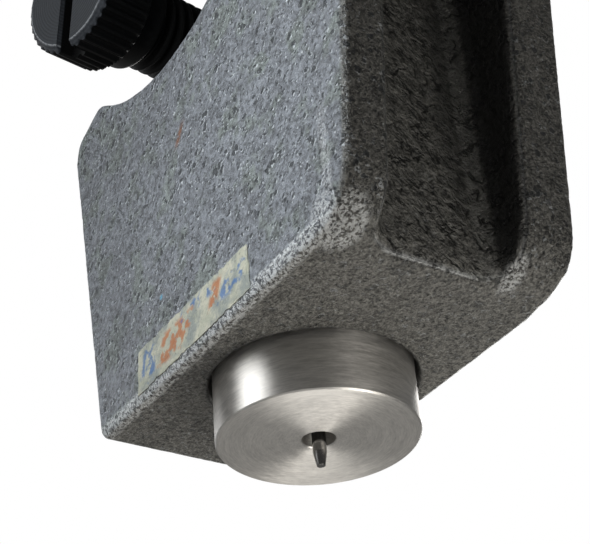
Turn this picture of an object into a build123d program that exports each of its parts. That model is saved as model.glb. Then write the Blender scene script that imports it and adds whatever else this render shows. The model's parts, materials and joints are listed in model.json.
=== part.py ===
from build123d import *

import os
from math import atan2, ceil, cos, degrees, hypot, pi, radians, sin, sqrt, tan

# Spring hardness tester with a type A foot, in millimetres.
# The origin is the centre of the presser foot's flat face. +Z is up, along the indenter.
# The dial and the label face -Y, and the channelled narrow side faces +X.

os.makedirs("parts", exist_ok=True)

# ---------------------------------------------------------------- driving dimensions

# fits
running_gap = 0.03            # radial clearance of a shaft in its bush
seat_gap = 0.01               # radial clearance of a piece fixed in its seat
recess_gap = 0.37             # open ring between the foot and the body

# presser foot and indenter, to the type A standard
foot_radius = 9.0
foot_hole_radius = 1.5
foot_edge_chamfer = 0.3
foot_hole_chamfer = 0.12
foot_stand_out = 5.46         # the body's bottom face above the foot's face
foot_seat_depth = 2.54        # how far the foot's disc enters the body
foot_spigot_radius = 5.0
foot_spigot_length = 6.0
foot_hole_depth = 4.0         # where its hole widens for the spindle
indenter_radius = 0.625
indenter_flat_radius = 0.395
indenter_cone_angle = 35.0    # full angle of the cone
indenter_travel = 2.5
indenter_grip = 6.0           # length held in the spindle

# lower body
block_front = 12.4            # front face, as a distance from the indenter's axis
block_back = 10.9
left_reach = 17.6             # side walls at the height of the bottom face
right_reach = 23.5
left_lean = 0.170             # how far each side leans out for each unit of height
right_lean = 0.129
left_corner_radius = 1.5
right_corner_radius = 5.5
edge_radius = 0.75
rear_step_height = 45.0       # the back is thicker above this
upper_back = 13.5

# round head
head_height = 104.0
case_radius = 27.5            # inner radius of the head
ledge_width = 3.0
ledge_front = 10.0
cover_seat_width = 5.5        # of the back cover's seat, over the ledge
cover_thickness = 1.5
collar_wall = 2.1
collar_height = 2.2

# finger recess between the block and the head
recess_floor = 2.0            # its rear wall
recess_arc_radius = 22.4
recess_arc_x = -3.0
recess_arc_z = 63.4
recess_right = 12.0
recess_right_radius = 5.0
shoulder_z = 44.5             # its corner on the left wall
shoulder_slope = 0.36
shoulder_overshoot = 0.02     # past the left wall, so the cut leaves no sliver
shoulder_radius = 1.8
lip_radius = 1.4
notch_x = -30.0               # open gap between the clamp boss and the head
notch_z = 81.0
notch_radius = 10.0

# channel in the narrow side
channel_floor = 19.9
channel_front = 7.7
channel_back = 5.2
channel_top = 72.0
channel_fillet = 2.4
channel_mouth_radius = 1.0
channel_run_out = 6.0         # at its top

# stand clamp
clamp_x = -22.4               # where the clamp screw's axis crosses y = 0
clamp_z = 64.0
clamp_yaw = 14.2
clamp_pitch = 7.6
thread_radius = 5.0
thread_pitch = 1.5
boss_radius = 8.5
boss_start = 6.0              # along the screw's axis, from y = 0
relief_radius = 11.0
rod_y = 20.5
rod_bore_radius = 6.0
socket_radius = 11.0
socket_half_length = 13.0
screw_face = -16.7
screw_head_radius = 7.25
screw_head_length = 6.6
screw_head_chamfer = 0.55      # round its face
screw_head_break = 0.2         # round its rear
screw_collar_radius = 5.75
screw_collar_length = 3.4
screw_slot_width = 2.2
screw_slot_depth = 2.4
screw_slot_angle = 106.0
pad_radius = 3.6
pad_thickness = 1.5
pad_back_off = 1.5            # from the pad to a rod in the bore
pad_chamfer = 0.3

# spindle, spring and bushes
spindle_radius = 2.0
spindle_bottom = 6.5
spindle_room = 0.3            # round the spindle where it isn't guided
spindle_end_out = 0.5         # above the yoke
bush_wall = 1.5
bush_seat_height = 1.0        # above the foot's disc
bush_flange_radius = 4.6
bush_flange_thickness = 1.5
collar_radius = 4.4
collar_thickness = 1.2
chamber_radius = 6.0
spring_length = 8.8
spring_radius = 3.4
spring_wire_radius = 0.45
spring_turns = 4.5
adjuster_height = 4.0
adjuster_lip = 1.0
adjuster_slot_width = 1.2
adjuster_slot_depth = 0.8

# yoke and push rod
push_rod_y = 6.0
push_rod_radius = 1.5
push_rod_bore_gap = 0.4
yoke_height = 3.5
yoke_half_width = 3.5
yoke_margin = 1.0             # round the push rod
yoke_gap = 0.7
yoke_corner_radius = 1.0
yoke_screw_radius = 0.8
yoke_screw_tip_gap = 0.02     # from its end to the shaft it holds
guide_length = 7.5
guide_stand_in = 0.5          # of its bush into the case
guide_wall = 0.96

# movement
gear_module = 0.3
rack_pinion_teeth = 19
wheel_teeth = 72
centre_pinion_teeth = 12
rack_pitch_offset = 0.9       # pitch line of the rack, from the rod's axis
rack_gaps_below = 6
rack_gaps_above = 4
rack_end_length = 1.5         # plain end of the rod above its rack
tooth_share = 0.40            # tooth thickness over pitch, at the pitch line
addendum_share = 0.8
dedendum_share = 1.1
pressure_angle = 20.0
rack_pinion_overlap = 0.3     # beyond the rod on each side
wheel_back = 1.5
wheel_thickness = 1.0
wheel_hole_circle_share = 0.62  # lightening holes, as shares of the wheel's radius
wheel_hole_share = 0.22
plate_thickness = 1.5
front_plate_back = -6.0
front_plate_inset = 4.0
pillar_radius = 2.0
pillar_inset = 7.0
pivot_radius = 0.5
arbor_radius = 0.7
transfer_arbor_radius = 0.9
arbor_shake = 0.2             # end play at each end of an arbor
plate_gap = 0.3               # round the back plate
movement_screw_inset = 1.7
small_screw_radius = 0.8
small_head_radius = 1.4
small_head_height = 0.8
dial_head_height = 0.6        # of the dial's own screws
screw_end_gap = 0.2           # from a screw's end to the cover behind it
dial_post_radius = 2.0
dial_post_inset = 12.5
dial_post_height = 2.3
dial_thickness = 0.8
dial_gap = 0.5
pointer_inset = 6.0
pointer_tail = 6.5
pointer_hub_radius = 2.0
pointer_thickness = 0.4
pointer_height = 1.7          # its back over the dial
pointer_tip_half_width = 0.18
pointer_tail_half_width = 1.3
pointer_hub_length = 1.4
arbor_end_out = 0.5           # in front of the pointer
hairspring_inner = 1.9
hairspring_outer = 6.0
hairspring_turns = 4
hairspring_start_angle = 20.0
hairspring_strip = 0.15
hairspring_width = 0.8
hairspring_clearance = 0.4    # in front of the push rod
collet_gap = 0.35             # to the spring's inner end
collet_over = 0.1             # past each edge of the spring
stud_radius = 0.6
stud_over = 0.3               # past the spring's front edge

# bezel and crystal
bezel_wall = 2.3
bezel_lip_width = 2.8
bezel_lip = 1.6
crystal_thickness = 1.6
gasket_thickness = 0.6
bezel_chamfer = 0.9
crystal_gap = 0.3             # round the crystal in its bezel's seat
gasket_inset = 0.4            # of its opening from the case's wall

# covers, small screws and label
rear_cover_half_width = 11.0
rear_cover_bottom = 24.0
rear_cover_top = 42.0
rear_cover_inset = 2.4
rear_screw_radius = 1.25
rear_screw_length = 5.0
rear_head_radius = 2.2
rear_head_height = 1.3
rear_head_rounding = 0.4
window_half_width = 6.0
window_bottom = 28.0
window_top = 37.5
cover_gap = 0.1
back_screw_inset = 0.3
back_screw_radius = 1.0
back_head_radius = 1.9
back_head_height = 1.0
back_head_rounding = 0.35
driver_slot_width = 0.6       # in the heads of both covers' screws
driver_slot_depth = 0.6
grub_radius = 1.5
grub_length = 4.0
grub_socket_radius = 0.85     # to the corners of its hexagon
grub_socket_depth = 1.6
label_left = -9.5
label_right = 9.9
label_bottom = 6.2
label_top = 10.8
label_thickness = 0.15

# ---------------------------------------------------------------- derived places

body_bottom = foot_stand_out
rear_step = upper_back - block_back
shoulder_x = -left_reach - left_lean * (shoulder_z - body_bottom) - shoulder_overshoot
shoulder_foot_z = shoulder_z - 2 * shoulder_radius
shoulder_foot_x = shoulder_x + left_lean * (shoulder_z - shoulder_foot_z)
foot_top = foot_stand_out + foot_seat_depth
spigot_top = foot_top + foot_spigot_length
bush_radius = spindle_radius + bush_wall
bush_bottom = foot_top + bush_seat_height
grub_z = (foot_top + spigot_top) / 2
collar_bottom = spigot_top + bush_flange_thickness
spring_bottom = collar_bottom + collar_thickness
spring_top = spring_bottom + spring_length
adjuster_top = spring_top + adjuster_height
yoke_bottom = adjuster_top + yoke_gap
yoke_top = yoke_bottom + yoke_height
spindle_top = yoke_top + spindle_end_out
yoke_depth = push_rod_y + 2 * (push_rod_radius + yoke_margin)

# What sits in and round the head's case follows its radius.
ledge_radius = case_radius - ledge_width
cover_seat_radius = ledge_radius + cover_seat_width
collar_outer_radius = case_radius + collar_wall
bezel_radius = collar_outer_radius + cover_gap + bezel_wall
bezel_opening = collar_outer_radius - bezel_lip_width
dial_radius = case_radius - dial_gap
pointer_length = case_radius - pointer_inset
front_plate_radius = case_radius - front_plate_inset
pillar_circle = case_radius - pillar_inset
movement_screw_circle = case_radius - movement_screw_inset
dial_post_spread = case_radius - dial_post_inset
back_screw_circle = case_radius - back_screw_inset

# The head's circle touches both leaning side walls.
left_slant = hypot(1, left_lean)
right_slant = hypot(1, right_lean)
left_at_head = -left_reach - left_lean * (head_height - body_bottom)
right_at_head = right_reach + right_lean * (head_height - body_bottom)
head_x = (right_at_head * left_slant + left_at_head * right_slant) / (left_slant + right_slant)
head_radius = (right_at_head - head_x) / right_slant

rack_pinion_radius = gear_module * rack_pinion_teeth / 2
wheel_radius = gear_module * wheel_teeth / 2
centre_pinion_radius = gear_module * centre_pinion_teeth / 2
gear_distance = wheel_radius + centre_pinion_radius
wheel_x = -(rack_pitch_offset + rack_pinion_radius)
wheel_z = head_height - sqrt(gear_distance**2 - (head_x - wheel_x) ** 2)
gear_line = degrees(atan2(head_height - wheel_z, head_x - wheel_x))
tooth_pitch = pi * gear_module
push_rod_top = wheel_z + (rack_gaps_above + 1) * tooth_pitch + rack_end_length
guide_bottom = head_height - case_radius - guide_length + guide_stand_in

clamp_axis = Vector(
    -sin(radians(clamp_yaw)) * cos(radians(clamp_pitch)),
    cos(radians(clamp_yaw)) * cos(radians(clamp_pitch)),
    sin(radians(clamp_pitch)),
)
clamp_origin = Vector(clamp_x, 0, clamp_z)
rod_along = rod_y / clamp_axis.Y
rod_x = clamp_x + rod_along * clamp_axis.X
rod_z = clamp_z + rod_along * clamp_axis.Z
rod_surface = rod_along - rod_bore_radius / cos(radians(clamp_pitch))
pad_tip = rod_surface - pad_back_off
screw_tip = pad_tip - pad_thickness


def front_plane(x, y, z):
    """Plane that faces the front: its own x is +X, its own y is +Z, and it extrudes towards -Y."""
    return Plane(origin=(x, y, z), x_dir=(1, 0, 0), z_dir=(0, -1, 0))


def clamp_plane(along):
    """Plane across the clamp screw's axis, which extrudes away from the head of the screw."""
    side = Vector(0, 0, 1).cross(clamp_axis)
    return Plane(origin=clamp_origin + clamp_axis * along, x_dir=side, z_dir=clamp_axis)


def on_circle(radius, angle):
    """Point of the dial plane at a radius and an angle from the head's centre."""
    return (head_x + radius * cos(radians(angle)), head_height + radius * sin(radians(angle)))


def gear_outline(teeth, first_tooth):
    """Corners of a gear in the dial plane, with one tooth at the angle first_tooth."""
    radius = gear_module * teeth / 2
    tip = radius + addendum_share * gear_module
    root = radius - dedendum_share * gear_module
    half = tooth_share * 180 / teeth
    flank = tan(radians(pressure_angle)) * gear_module
    tip_half = half - degrees(flank * addendum_share / tip)
    root_half = half + degrees(flank * dedendum_share / root)
    corners = []
    for tooth in range(teeth):
        middle = first_tooth + tooth * 360 / teeth
        for reach, turn in ((root, -root_half), (tip, -tip_half), (tip, tip_half), (root, root_half)):
            angle = radians(middle + turn)
            corners.append((reach * cos(angle), reach * sin(angle)))
    return corners


def finish(builder, name):
    """Label a finished piece and write it to its own file."""
    builder.part.label = name
    export_step(builder.part, "parts/" + name + ".step")


# ---------------------------------------------------------------- cast body

left_corner_x = -left_reach - left_lean * left_corner_radius + left_corner_radius * left_slant
right_corner_x = right_reach + right_lean * right_corner_radius - right_corner_radius * right_slant


def recess_arc_height(x):
    return recess_arc_z - sqrt(recess_arc_radius**2 - (x - recess_arc_x) ** 2)


def shoulder_height(x):
    return shoulder_z + shoulder_slope * (x - shoulder_x)


def find_lip():
    """Where the sloping shoulder meets the recess's arc, by halving."""
    low = shoulder_x
    high = recess_arc_x
    low = max(low, recess_arc_x - recess_arc_radius)
    for _ in range(60):
        middle = (low + high) / 2
        if recess_arc_height(middle) > shoulder_height(middle):
            low = middle
        else:
            high = middle
    return low


lip_x = find_lip()
far_left = -2 * head_radius
outside = 60.0

with BuildPart() as cast_body:
    with BuildSketch(front_plane(0, upper_back, 0)):
        with BuildLine():
            CenterArc((left_corner_x, body_bottom + left_corner_radius), left_corner_radius, 0, 360)
            CenterArc((right_corner_x, body_bottom + right_corner_radius), right_corner_radius, 0, 360)
            CenterArc((head_x, head_height), head_radius, 0, 360)
        make_hull()
    extrude(amount=block_front + upper_back)

    # the block is thinner than the head, with a sloping step between them
    with BuildSketch(Plane.YZ.offset(-outside)):
        with BuildLine():
            Polyline(
                (block_back, 0),
                (block_back, rear_step_height),
                (upper_back + rear_step, rear_step_height + 2 * rear_step),
                (upper_back + rear_step, 0),
                (block_back, 0),
            )
        make_face()
    extrude(amount=2 * outside, mode=Mode.SUBTRACT)
    outline_edges = cast_body.edges() - cast_body.edges().filter_by(Axis.Y)
    concave_edge = outline_edges.filter_by(Axis.X).filter_by_position(
        Axis.Z, rear_step_height - 0.1, rear_step_height + 0.1
    )
    fillet(outline_edges - concave_edge, edge_radius)

    # finger recess, open to the front and the left, below the round head
    with BuildSketch(front_plane(0, recess_floor, 0)) as recess:
        with BuildLine():
            Polyline(
                (far_left, shoulder_foot_z),
                (shoulder_foot_x, shoulder_foot_z),
                (shoulder_x, shoulder_height(shoulder_x)),
                (lip_x, recess_arc_height(lip_x)),
            )
            ThreePointArc(
                (lip_x, recess_arc_height(lip_x)),
                (recess_arc_x, recess_arc_height(recess_arc_x)),
                (recess_right, recess_arc_height(recess_right)),
            )
            Polyline(
                (recess_right, recess_arc_height(recess_right)),
                (recess_right, head_height),
                (far_left, head_height),
                (far_left, shoulder_foot_z),
            )
        make_face()
        shoulder = recess.vertices().sort_by_distance((shoulder_x, shoulder_height(shoulder_x)))[0]
        fillet(shoulder, shoulder_radius)
        lip = recess.vertices().sort_by_distance((lip_x, shoulder_height(lip_x)))[0]
        fillet(lip, lip_radius)
        foot_of_wall = recess.vertices().sort_by_distance((recess_right, recess_arc_height(recess_right)))[0]
        fillet(foot_of_wall, recess_right_radius)
        with Locations((head_x, head_height)):
            Circle(head_radius, mode=Mode.SUBTRACT)
    extrude(amount=outside, mode=Mode.SUBTRACT)

    # gap above the clamp boss
    with BuildSketch(front_plane(0, outside, 0)):
        with Locations((notch_x, notch_z)):
            Circle(notch_radius)
        with Locations((head_x, head_height)):
            Circle(head_radius, mode=Mode.SUBTRACT)
    extrude(amount=2 * outside, mode=Mode.SUBTRACT)

    # room for fingers round the clamp screw, then its boss and the socket for the stand's rod
    with BuildSketch(clamp_plane(boss_start)):
        Circle(relief_radius)
    extrude(amount=-(boss_start + block_front), mode=Mode.SUBTRACT)
    with BuildSketch(clamp_plane(boss_start)):
        Circle(boss_radius)
    extrude(amount=rod_along - boss_start)
    with BuildSketch(Plane.XY.offset(rod_z - socket_half_length)):
        with Locations((rod_x, rod_y)):
            Circle(socket_radius)
    extrude(amount=2 * socket_half_length)
    with BuildSketch(Plane.XY.offset(rod_z - socket_half_length)):
        with Locations((rod_x, rod_y)):
            Circle(rod_bore_radius)
    extrude(amount=2 * socket_half_length, mode=Mode.SUBTRACT)
    with BuildSketch(clamp_plane(boss_start)):
        Circle(thread_radius + running_gap)
    extrude(amount=rod_along - boss_start, mode=Mode.SUBTRACT)

    # channel in the narrow side, open at the bottom
    with BuildSketch(front_plane(0, channel_back, 0)):
        with BuildLine():
            Polyline(
                (outside, channel_top),
                (outside, 0),
                (channel_floor, 0),
                (channel_floor, channel_top - channel_run_out),
            )
            CenterArc(
                (channel_floor + channel_run_out, channel_top - channel_run_out),
                channel_run_out,
                90,
                90,
            )
            Line((channel_floor + channel_run_out, channel_top), (outside, channel_top))
        make_face()
    extrude(amount=channel_back + channel_front, mode=Mode.SUBTRACT)
    channel_corners = (
        cast_body.edges()
        .filter_by(Axis.Z)
        .filter_by_position(Axis.X, channel_floor - 0.01, channel_floor + 0.01)
        .filter_by_position(Axis.Y, -channel_front - 0.01, channel_back + 0.01)
    )
    fillet(channel_corners, channel_fillet)
    channel_rims = ShapeList(
        edge
        for edge in cast_body.edges()
        if edge.center().X > channel_floor + channel_fillet
        and body_bottom + right_corner_radius < edge.center().Z < channel_top
        and edge.length > channel_top / 2
        and -channel_front - 0.01 < edge.center().Y < channel_back + 0.01
    )
    fillet(channel_rims, channel_mouth_radius)

    # bores along the indenter's axis
    with BuildSketch(Plane.XY.offset(body_bottom)):
        Circle(foot_radius + recess_gap)
    extrude(amount=foot_seat_depth, mode=Mode.SUBTRACT)
    with BuildSketch(Plane.XY.offset(foot_top)):
        Circle(foot_spigot_radius + seat_gap)
    extrude(amount=foot_spigot_length, mode=Mode.SUBTRACT)
    with BuildSketch(Plane.XY.offset(spigot_top)):
        Circle(chamber_radius)
    extrude(amount=window_top - spigot_top, mode=Mode.SUBTRACT)

    # window behind the yoke, and the seat of its cover
    with BuildSketch(front_plane(0, block_back, 0)):
        with Locations((0, window_bottom)):
            Rectangle(2 * window_half_width, window_top - window_bottom, align=(Align.CENTER, Align.MIN))
    extrude(amount=block_back, mode=Mode.SUBTRACT)
    with BuildSketch(front_plane(0, outside, 0)):
        with Locations((0, rear_cover_bottom)):
            Rectangle(2 * rear_cover_half_width, rear_cover_top - rear_cover_bottom, align=(Align.CENTER, Align.MIN))
    extrude(amount=outside - block_back + cover_thickness, mode=Mode.SUBTRACT)
    with BuildSketch(front_plane(0, block_back - cover_thickness, 0)):
        with Locations((0, (rear_cover_bottom + rear_cover_top) / 2)):
            with GridLocations(
                2 * (rear_cover_half_width - rear_cover_inset),
                rear_cover_top - rear_cover_bottom - 2 * rear_cover_inset,
                2,
                2,
            ):
                Circle(rear_screw_radius + seat_gap)
    extrude(amount=rear_screw_length, mode=Mode.SUBTRACT)

    # way for the push rod, with the seat of its guide bush
    with BuildSketch(Plane.XY.offset(yoke_top)):
        with Locations((0, push_rod_y)):
            Circle(push_rod_radius + push_rod_bore_gap)
    extrude(amount=head_height - case_radius - yoke_top + 1, mode=Mode.SUBTRACT)
    with BuildSketch(Plane.XY.offset(guide_bottom)):
        with Locations((0, push_rod_y)):
            Circle(push_rod_radius + running_gap + guide_wall + seat_gap)
    extrude(amount=guide_length + 1, mode=Mode.SUBTRACT)

    # round case in the head: dial collar, cavity, ledge and cover seat
    with BuildSketch(front_plane(head_x, 0, head_height)):
        Circle(collar_outer_radius)
    extrude(amount=block_front + collar_height)
    with BuildSketch(front_plane(head_x, ledge_front, head_height)):
        Circle(case_radius)
    extrude(amount=outside, mode=Mode.SUBTRACT)
    with BuildSketch(front_plane(head_x, upper_back, head_height)):
        Circle(ledge_radius)
    extrude(amount=upper_back, mode=Mode.SUBTRACT)
    with BuildSketch(front_plane(head_x, upper_back, head_height)):
        Circle(cover_seat_radius)
    extrude(amount=cover_thickness, mode=Mode.SUBTRACT)
    with BuildSketch(front_plane(head_x, upper_back - cover_thickness, head_height)):
        with PolarLocations(back_screw_circle, 3, start_angle=90):
            Circle(back_screw_radius + seat_gap)
    extrude(amount=upper_back - cover_thickness - ledge_front, mode=Mode.SUBTRACT)
    with BuildSketch(front_plane(head_x, upper_back - cover_thickness, head_height)):
        with PolarLocations(movement_screw_circle, 3):
            Circle(small_screw_radius + seat_gap)
    extrude(amount=upper_back - cover_thickness - ledge_front, mode=Mode.SUBTRACT)

    # hole for the foot's grub screw, from the left side
    with BuildSketch(Plane.YZ):
        with Locations((0, grub_z)):
            Circle(grub_radius)
    extrude(amount=-outside, mode=Mode.SUBTRACT)
finish(cast_body, "cast_body")

# ---------------------------------------------------------------- covers, screws and label

with BuildPart() as block_rear_cover:
    with BuildSketch(front_plane(0, block_back, 0)):
        with Locations((0, (rear_cover_bottom + rear_cover_top) / 2)):
            Rectangle(
                2 * (rear_cover_half_width - cover_gap),
                rear_cover_top - rear_cover_bottom - 2 * cover_gap,
            )
            with GridLocations(
                2 * (rear_cover_half_width - rear_cover_inset),
                rear_cover_top - rear_cover_bottom - 2 * rear_cover_inset,
                2,
                2,
            ):
                Circle(rear_screw_radius + cover_gap, mode=Mode.SUBTRACT)
    extrude(amount=cover_thickness)
finish(block_rear_cover, "block_rear_cover")

with BuildPart() as rear_cover_screws:
    with BuildSketch(front_plane(0, block_back, 0)) as rear_screw_places:
        with Locations((0, (rear_cover_bottom + rear_cover_top) / 2)):
            with GridLocations(
                2 * (rear_cover_half_width - rear_cover_inset),
                rear_cover_top - rear_cover_bottom - 2 * rear_cover_inset,
                2,
                2,
            ):
                Circle(rear_screw_radius)
    extrude(amount=cover_thickness + rear_screw_length)
    with BuildSketch(front_plane(0, block_back + rear_head_height, 0)):
        with Locations((0, (rear_cover_bottom + rear_cover_top) / 2)):
            with GridLocations(
                2 * (rear_cover_half_width - rear_cover_inset),
                rear_cover_top - rear_cover_bottom - 2 * rear_cover_inset,
                2,
                2,
            ):
                Circle(rear_head_radius)
    extrude(amount=rear_head_height)
    fillet(rear_cover_screws.faces().sort_by(Axis.Y)[-4:].edges(), rear_head_rounding)
    with BuildSketch(front_plane(0, block_back + rear_head_height, 0)):
        with Locations((0, (rear_cover_bottom + rear_cover_top) / 2)):
            with GridLocations(
                2 * (rear_cover_half_width - rear_cover_inset),
                rear_cover_top - rear_cover_bottom - 2 * rear_cover_inset,
                2,
                2,
            ):
                Rectangle(3 * rear_head_radius, driver_slot_width)
    extrude(amount=driver_slot_depth, mode=Mode.SUBTRACT)
finish(rear_cover_screws, "rear_cover_screws")

with BuildPart() as head_back_cover:
    with BuildSketch(front_plane(head_x, upper_back, head_height)):
        Circle(cover_seat_radius - cover_gap)
        with PolarLocations(back_screw_circle, 3, start_angle=90):
            Circle(back_screw_radius + cover_gap, mode=Mode.SUBTRACT)
    extrude(amount=cover_thickness)
finish(head_back_cover, "head_back_cover")

with BuildPart() as back_cover_screws:
    with BuildSketch(front_plane(head_x, upper_back, head_height)):
        with PolarLocations(back_screw_circle, 3, start_angle=90):
            Circle(back_screw_radius)
    extrude(amount=upper_back - ledge_front)
    with BuildSketch(front_plane(head_x, upper_back + back_head_height, head_height)):
        with PolarLocations(back_screw_circle, 3, start_angle=90):
            Circle(back_head_radius)
    extrude(amount=back_head_height)
    fillet(back_cover_screws.faces().sort_by(Axis.Y)[-3:].edges(), back_head_rounding)
    with BuildSketch(front_plane(head_x, upper_back + back_head_height, head_height)):
        with PolarLocations(back_screw_circle, 3, start_angle=90):
            Rectangle(3 * back_head_radius, driver_slot_width)
    extrude(amount=driver_slot_depth, mode=Mode.SUBTRACT)
finish(back_cover_screws, "back_cover_screws")

with BuildPart() as label_tape:
    with BuildSketch(front_plane(0, -block_front, 0)):
        with Locations(((label_left + label_right) / 2, (label_bottom + label_top) / 2)):
            Rectangle(label_right - label_left, label_top - label_bottom)
    extrude(amount=label_thickness)
finish(label_tape, "label_tape")

# ---------------------------------------------------------------- stand clamp

with BuildPart() as clamp_screw:
    with BuildSketch(clamp_plane(screw_face)):
        Circle(screw_head_radius)
    extrude(amount=screw_head_length)
    head_rims = clamp_screw.edges().filter_by(GeomType.CIRCLE).sort_by(Axis.Y)
    chamfer(head_rims[0], screw_head_chamfer)
    chamfer(head_rims[-1], screw_head_break)
    with BuildSketch(clamp_plane(screw_face + screw_head_length)):
        Circle(screw_collar_radius)
    extrude(amount=screw_collar_length)
    with BuildSketch(clamp_plane(screw_face + screw_head_length + screw_collar_length)):
        Circle(thread_radius - running_gap)
    extrude(amount=screw_tip - (screw_face + screw_head_length + screw_collar_length))
    with BuildSketch(clamp_plane(screw_face)):
        with Locations(Rotation(0, 0, screw_slot_angle)):
            Rectangle(3 * screw_head_radius, screw_slot_width)
    extrude(amount=screw_slot_depth, mode=Mode.SUBTRACT)
finish(clamp_screw, "clamp_screw")

with BuildPart() as clamp_pad:
    with BuildSketch(clamp_plane(screw_tip)):
        Circle(pad_radius)
    extrude(amount=pad_thickness)
    chamfer(clamp_pad.edges().filter_by(GeomType.CIRCLE).sort_by(Axis.Y)[-1], pad_chamfer)
finish(clamp_pad, "clamp_pad")

# ---------------------------------------------------------------- foot and indenter

with BuildPart() as presser_foot:
    with BuildSketch(Plane.XY):
        Circle(foot_radius)
    extrude(amount=foot_top)
    chamfer(presser_foot.edges().sort_by(Axis.Z)[0], foot_edge_chamfer)
    with BuildSketch(Plane.XY.offset(foot_top)):
        Circle(foot_spigot_radius)
    extrude(amount=foot_spigot_length)
    with BuildSketch(Plane.XY):
        Circle(foot_hole_radius)
    extrude(amount=foot_hole_depth, mode=Mode.SUBTRACT)
    rim = presser_foot.edges().filter_by(GeomType.CIRCLE).filter_by_position(Axis.Z, -0.01, 0.01)
    chamfer(rim.sort_by(SortBy.RADIUS)[0], foot_hole_chamfer)
    with BuildSketch(Plane.XY.offset(foot_hole_depth)):
        Circle(spindle_radius + spindle_room)
    extrude(amount=bush_bottom - foot_hole_depth, mode=Mode.SUBTRACT)
    with BuildSketch(Plane.XY.offset(bush_bottom)):
        Circle(bush_radius)
    extrude(amount=spigot_top - bush_bottom, mode=Mode.SUBTRACT)
finish(presser_foot, "presser_foot")

with BuildPart() as foot_grub_screw:
    with BuildSketch(Plane.YZ.offset(-foot_spigot_radius)):
        with Locations((0, grub_z)):
            Circle(grub_radius - running_gap)
    extrude(amount=-grub_length)
    with BuildSketch(Plane.YZ.offset(-foot_spigot_radius - grub_length)):
        with Locations((0, grub_z)):
            RegularPolygon(grub_socket_radius, 6)
    extrude(amount=grub_socket_depth, mode=Mode.SUBTRACT)
finish(foot_grub_screw, "foot_grub_screw")

with BuildPart() as lower_guide_bush:
    with BuildSketch(Plane.XY.offset(bush_bottom)):
        Circle(bush_radius - seat_gap)
    extrude(amount=spigot_top - bush_bottom)
    with BuildSketch(Plane.XY.offset(spigot_top)):
        Circle(bush_flange_radius)
    extrude(amount=bush_flange_thickness)
    with BuildSketch(Plane.XY.offset(bush_bottom)):
        Circle(spindle_radius + running_gap)
    extrude(amount=collar_bottom - bush_bottom, mode=Mode.SUBTRACT)
finish(lower_guide_bush, "lower_guide_bush")

cone_height = (indenter_radius - indenter_flat_radius) / tan(radians(indenter_cone_angle / 2))

with BuildPart() as indenter:
    with BuildSketch(Plane.XZ):
        with BuildLine():
            Polyline(
                (0, -indenter_travel),
                (indenter_flat_radius, -indenter_travel),
                (indenter_radius, -indenter_travel + cone_height),
                (indenter_radius, spindle_bottom + indenter_grip),
                (0, spindle_bottom + indenter_grip),
                (0, -indenter_travel),
            )
        make_face()
    revolve(axis=Axis.Z)
finish(indenter, "indenter")

with BuildPart() as spindle:
    with BuildSketch(Plane.XY.offset(spindle_bottom)):
        Circle(spindle_radius)
    extrude(amount=spindle_top - spindle_bottom)
    with BuildSketch(Plane.XY.offset(collar_bottom)):
        Circle(collar_radius)
    extrude(amount=collar_thickness)
    with BuildSketch(Plane.XY.offset(spindle_bottom)):
        Circle(indenter_radius + seat_gap)
    extrude(amount=indenter_grip, mode=Mode.SUBTRACT)
finish(spindle, "spindle")

with BuildPart() as measuring_spring:
    coil_height = spring_length - 2 * spring_wire_radius
    with BuildLine() as coil:
        Helix(
            coil_height / spring_turns,
            coil_height,
            spring_radius,
            center=(0, 0, spring_bottom + spring_wire_radius),
        )
    with BuildSketch(Plane(origin=coil.line @ 0, z_dir=coil.line % 0)):
        Circle(spring_wire_radius)
    sweep(is_frenet=True)
finish(measuring_spring, "measuring_spring")

with BuildPart() as spring_adjuster:
    with BuildSketch(Plane.XY.offset(spring_top)):
        Circle(chamber_radius - running_gap)
        Circle(spindle_radius + spindle_room, mode=Mode.SUBTRACT)
    extrude(amount=adjuster_height)
    with BuildSketch(Plane.XY.offset(spring_top + adjuster_lip)):
        Circle(spindle_radius + running_gap + guide_wall + seat_gap)
    extrude(amount=adjuster_height, mode=Mode.SUBTRACT)
    with BuildSketch(Plane.XY.offset(adjuster_top)):
        Rectangle(adjuster_slot_width, 3 * chamber_radius)
    extrude(amount=-adjuster_slot_depth, mode=Mode.SUBTRACT)
finish(spring_adjuster, "spring_adjuster")

with BuildPart() as upper_guide_bush:
    with BuildSketch(Plane.XY.offset(spring_top + adjuster_lip)):
        Circle(spindle_radius + running_gap + guide_wall)
        Circle(spindle_radius + running_gap, mode=Mode.SUBTRACT)
    extrude(amount=adjuster_height - adjuster_lip)
finish(upper_guide_bush, "upper_guide_bush")

# ---------------------------------------------------------------- yoke and push rod

with BuildPart() as yoke:
    with BuildSketch(Plane.XY.offset(yoke_bottom)):
        with Locations((0, push_rod_y / 2)):
            RectangleRounded(2 * yoke_half_width, yoke_depth, yoke_corner_radius)
        Circle(spindle_radius + seat_gap, mode=Mode.SUBTRACT)
        with Locations((0, push_rod_y)):
            Circle(push_rod_radius + seat_gap, mode=Mode.SUBTRACT)
    extrude(amount=yoke_height)
    with BuildSketch(Plane.YZ.offset(yoke_half_width)):
        with Locations((0, yoke_bottom + yoke_height / 2), (push_rod_y, yoke_bottom + yoke_height / 2)):
            Circle(yoke_screw_radius + seat_gap)
    extrude(amount=-yoke_half_width, mode=Mode.SUBTRACT)
finish(yoke, "yoke")

with BuildPart() as yoke_screws:
    for place, reach in ((0, spindle_radius), (push_rod_y, push_rod_radius)):
        with BuildSketch(Plane.YZ.offset(yoke_half_width)):
            with Locations((place, yoke_bottom + yoke_height / 2)):
                Circle(yoke_screw_radius)
        extrude(amount=reach + yoke_screw_tip_gap - yoke_half_width)
finish(yoke_screws, "yoke_screws")

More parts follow.
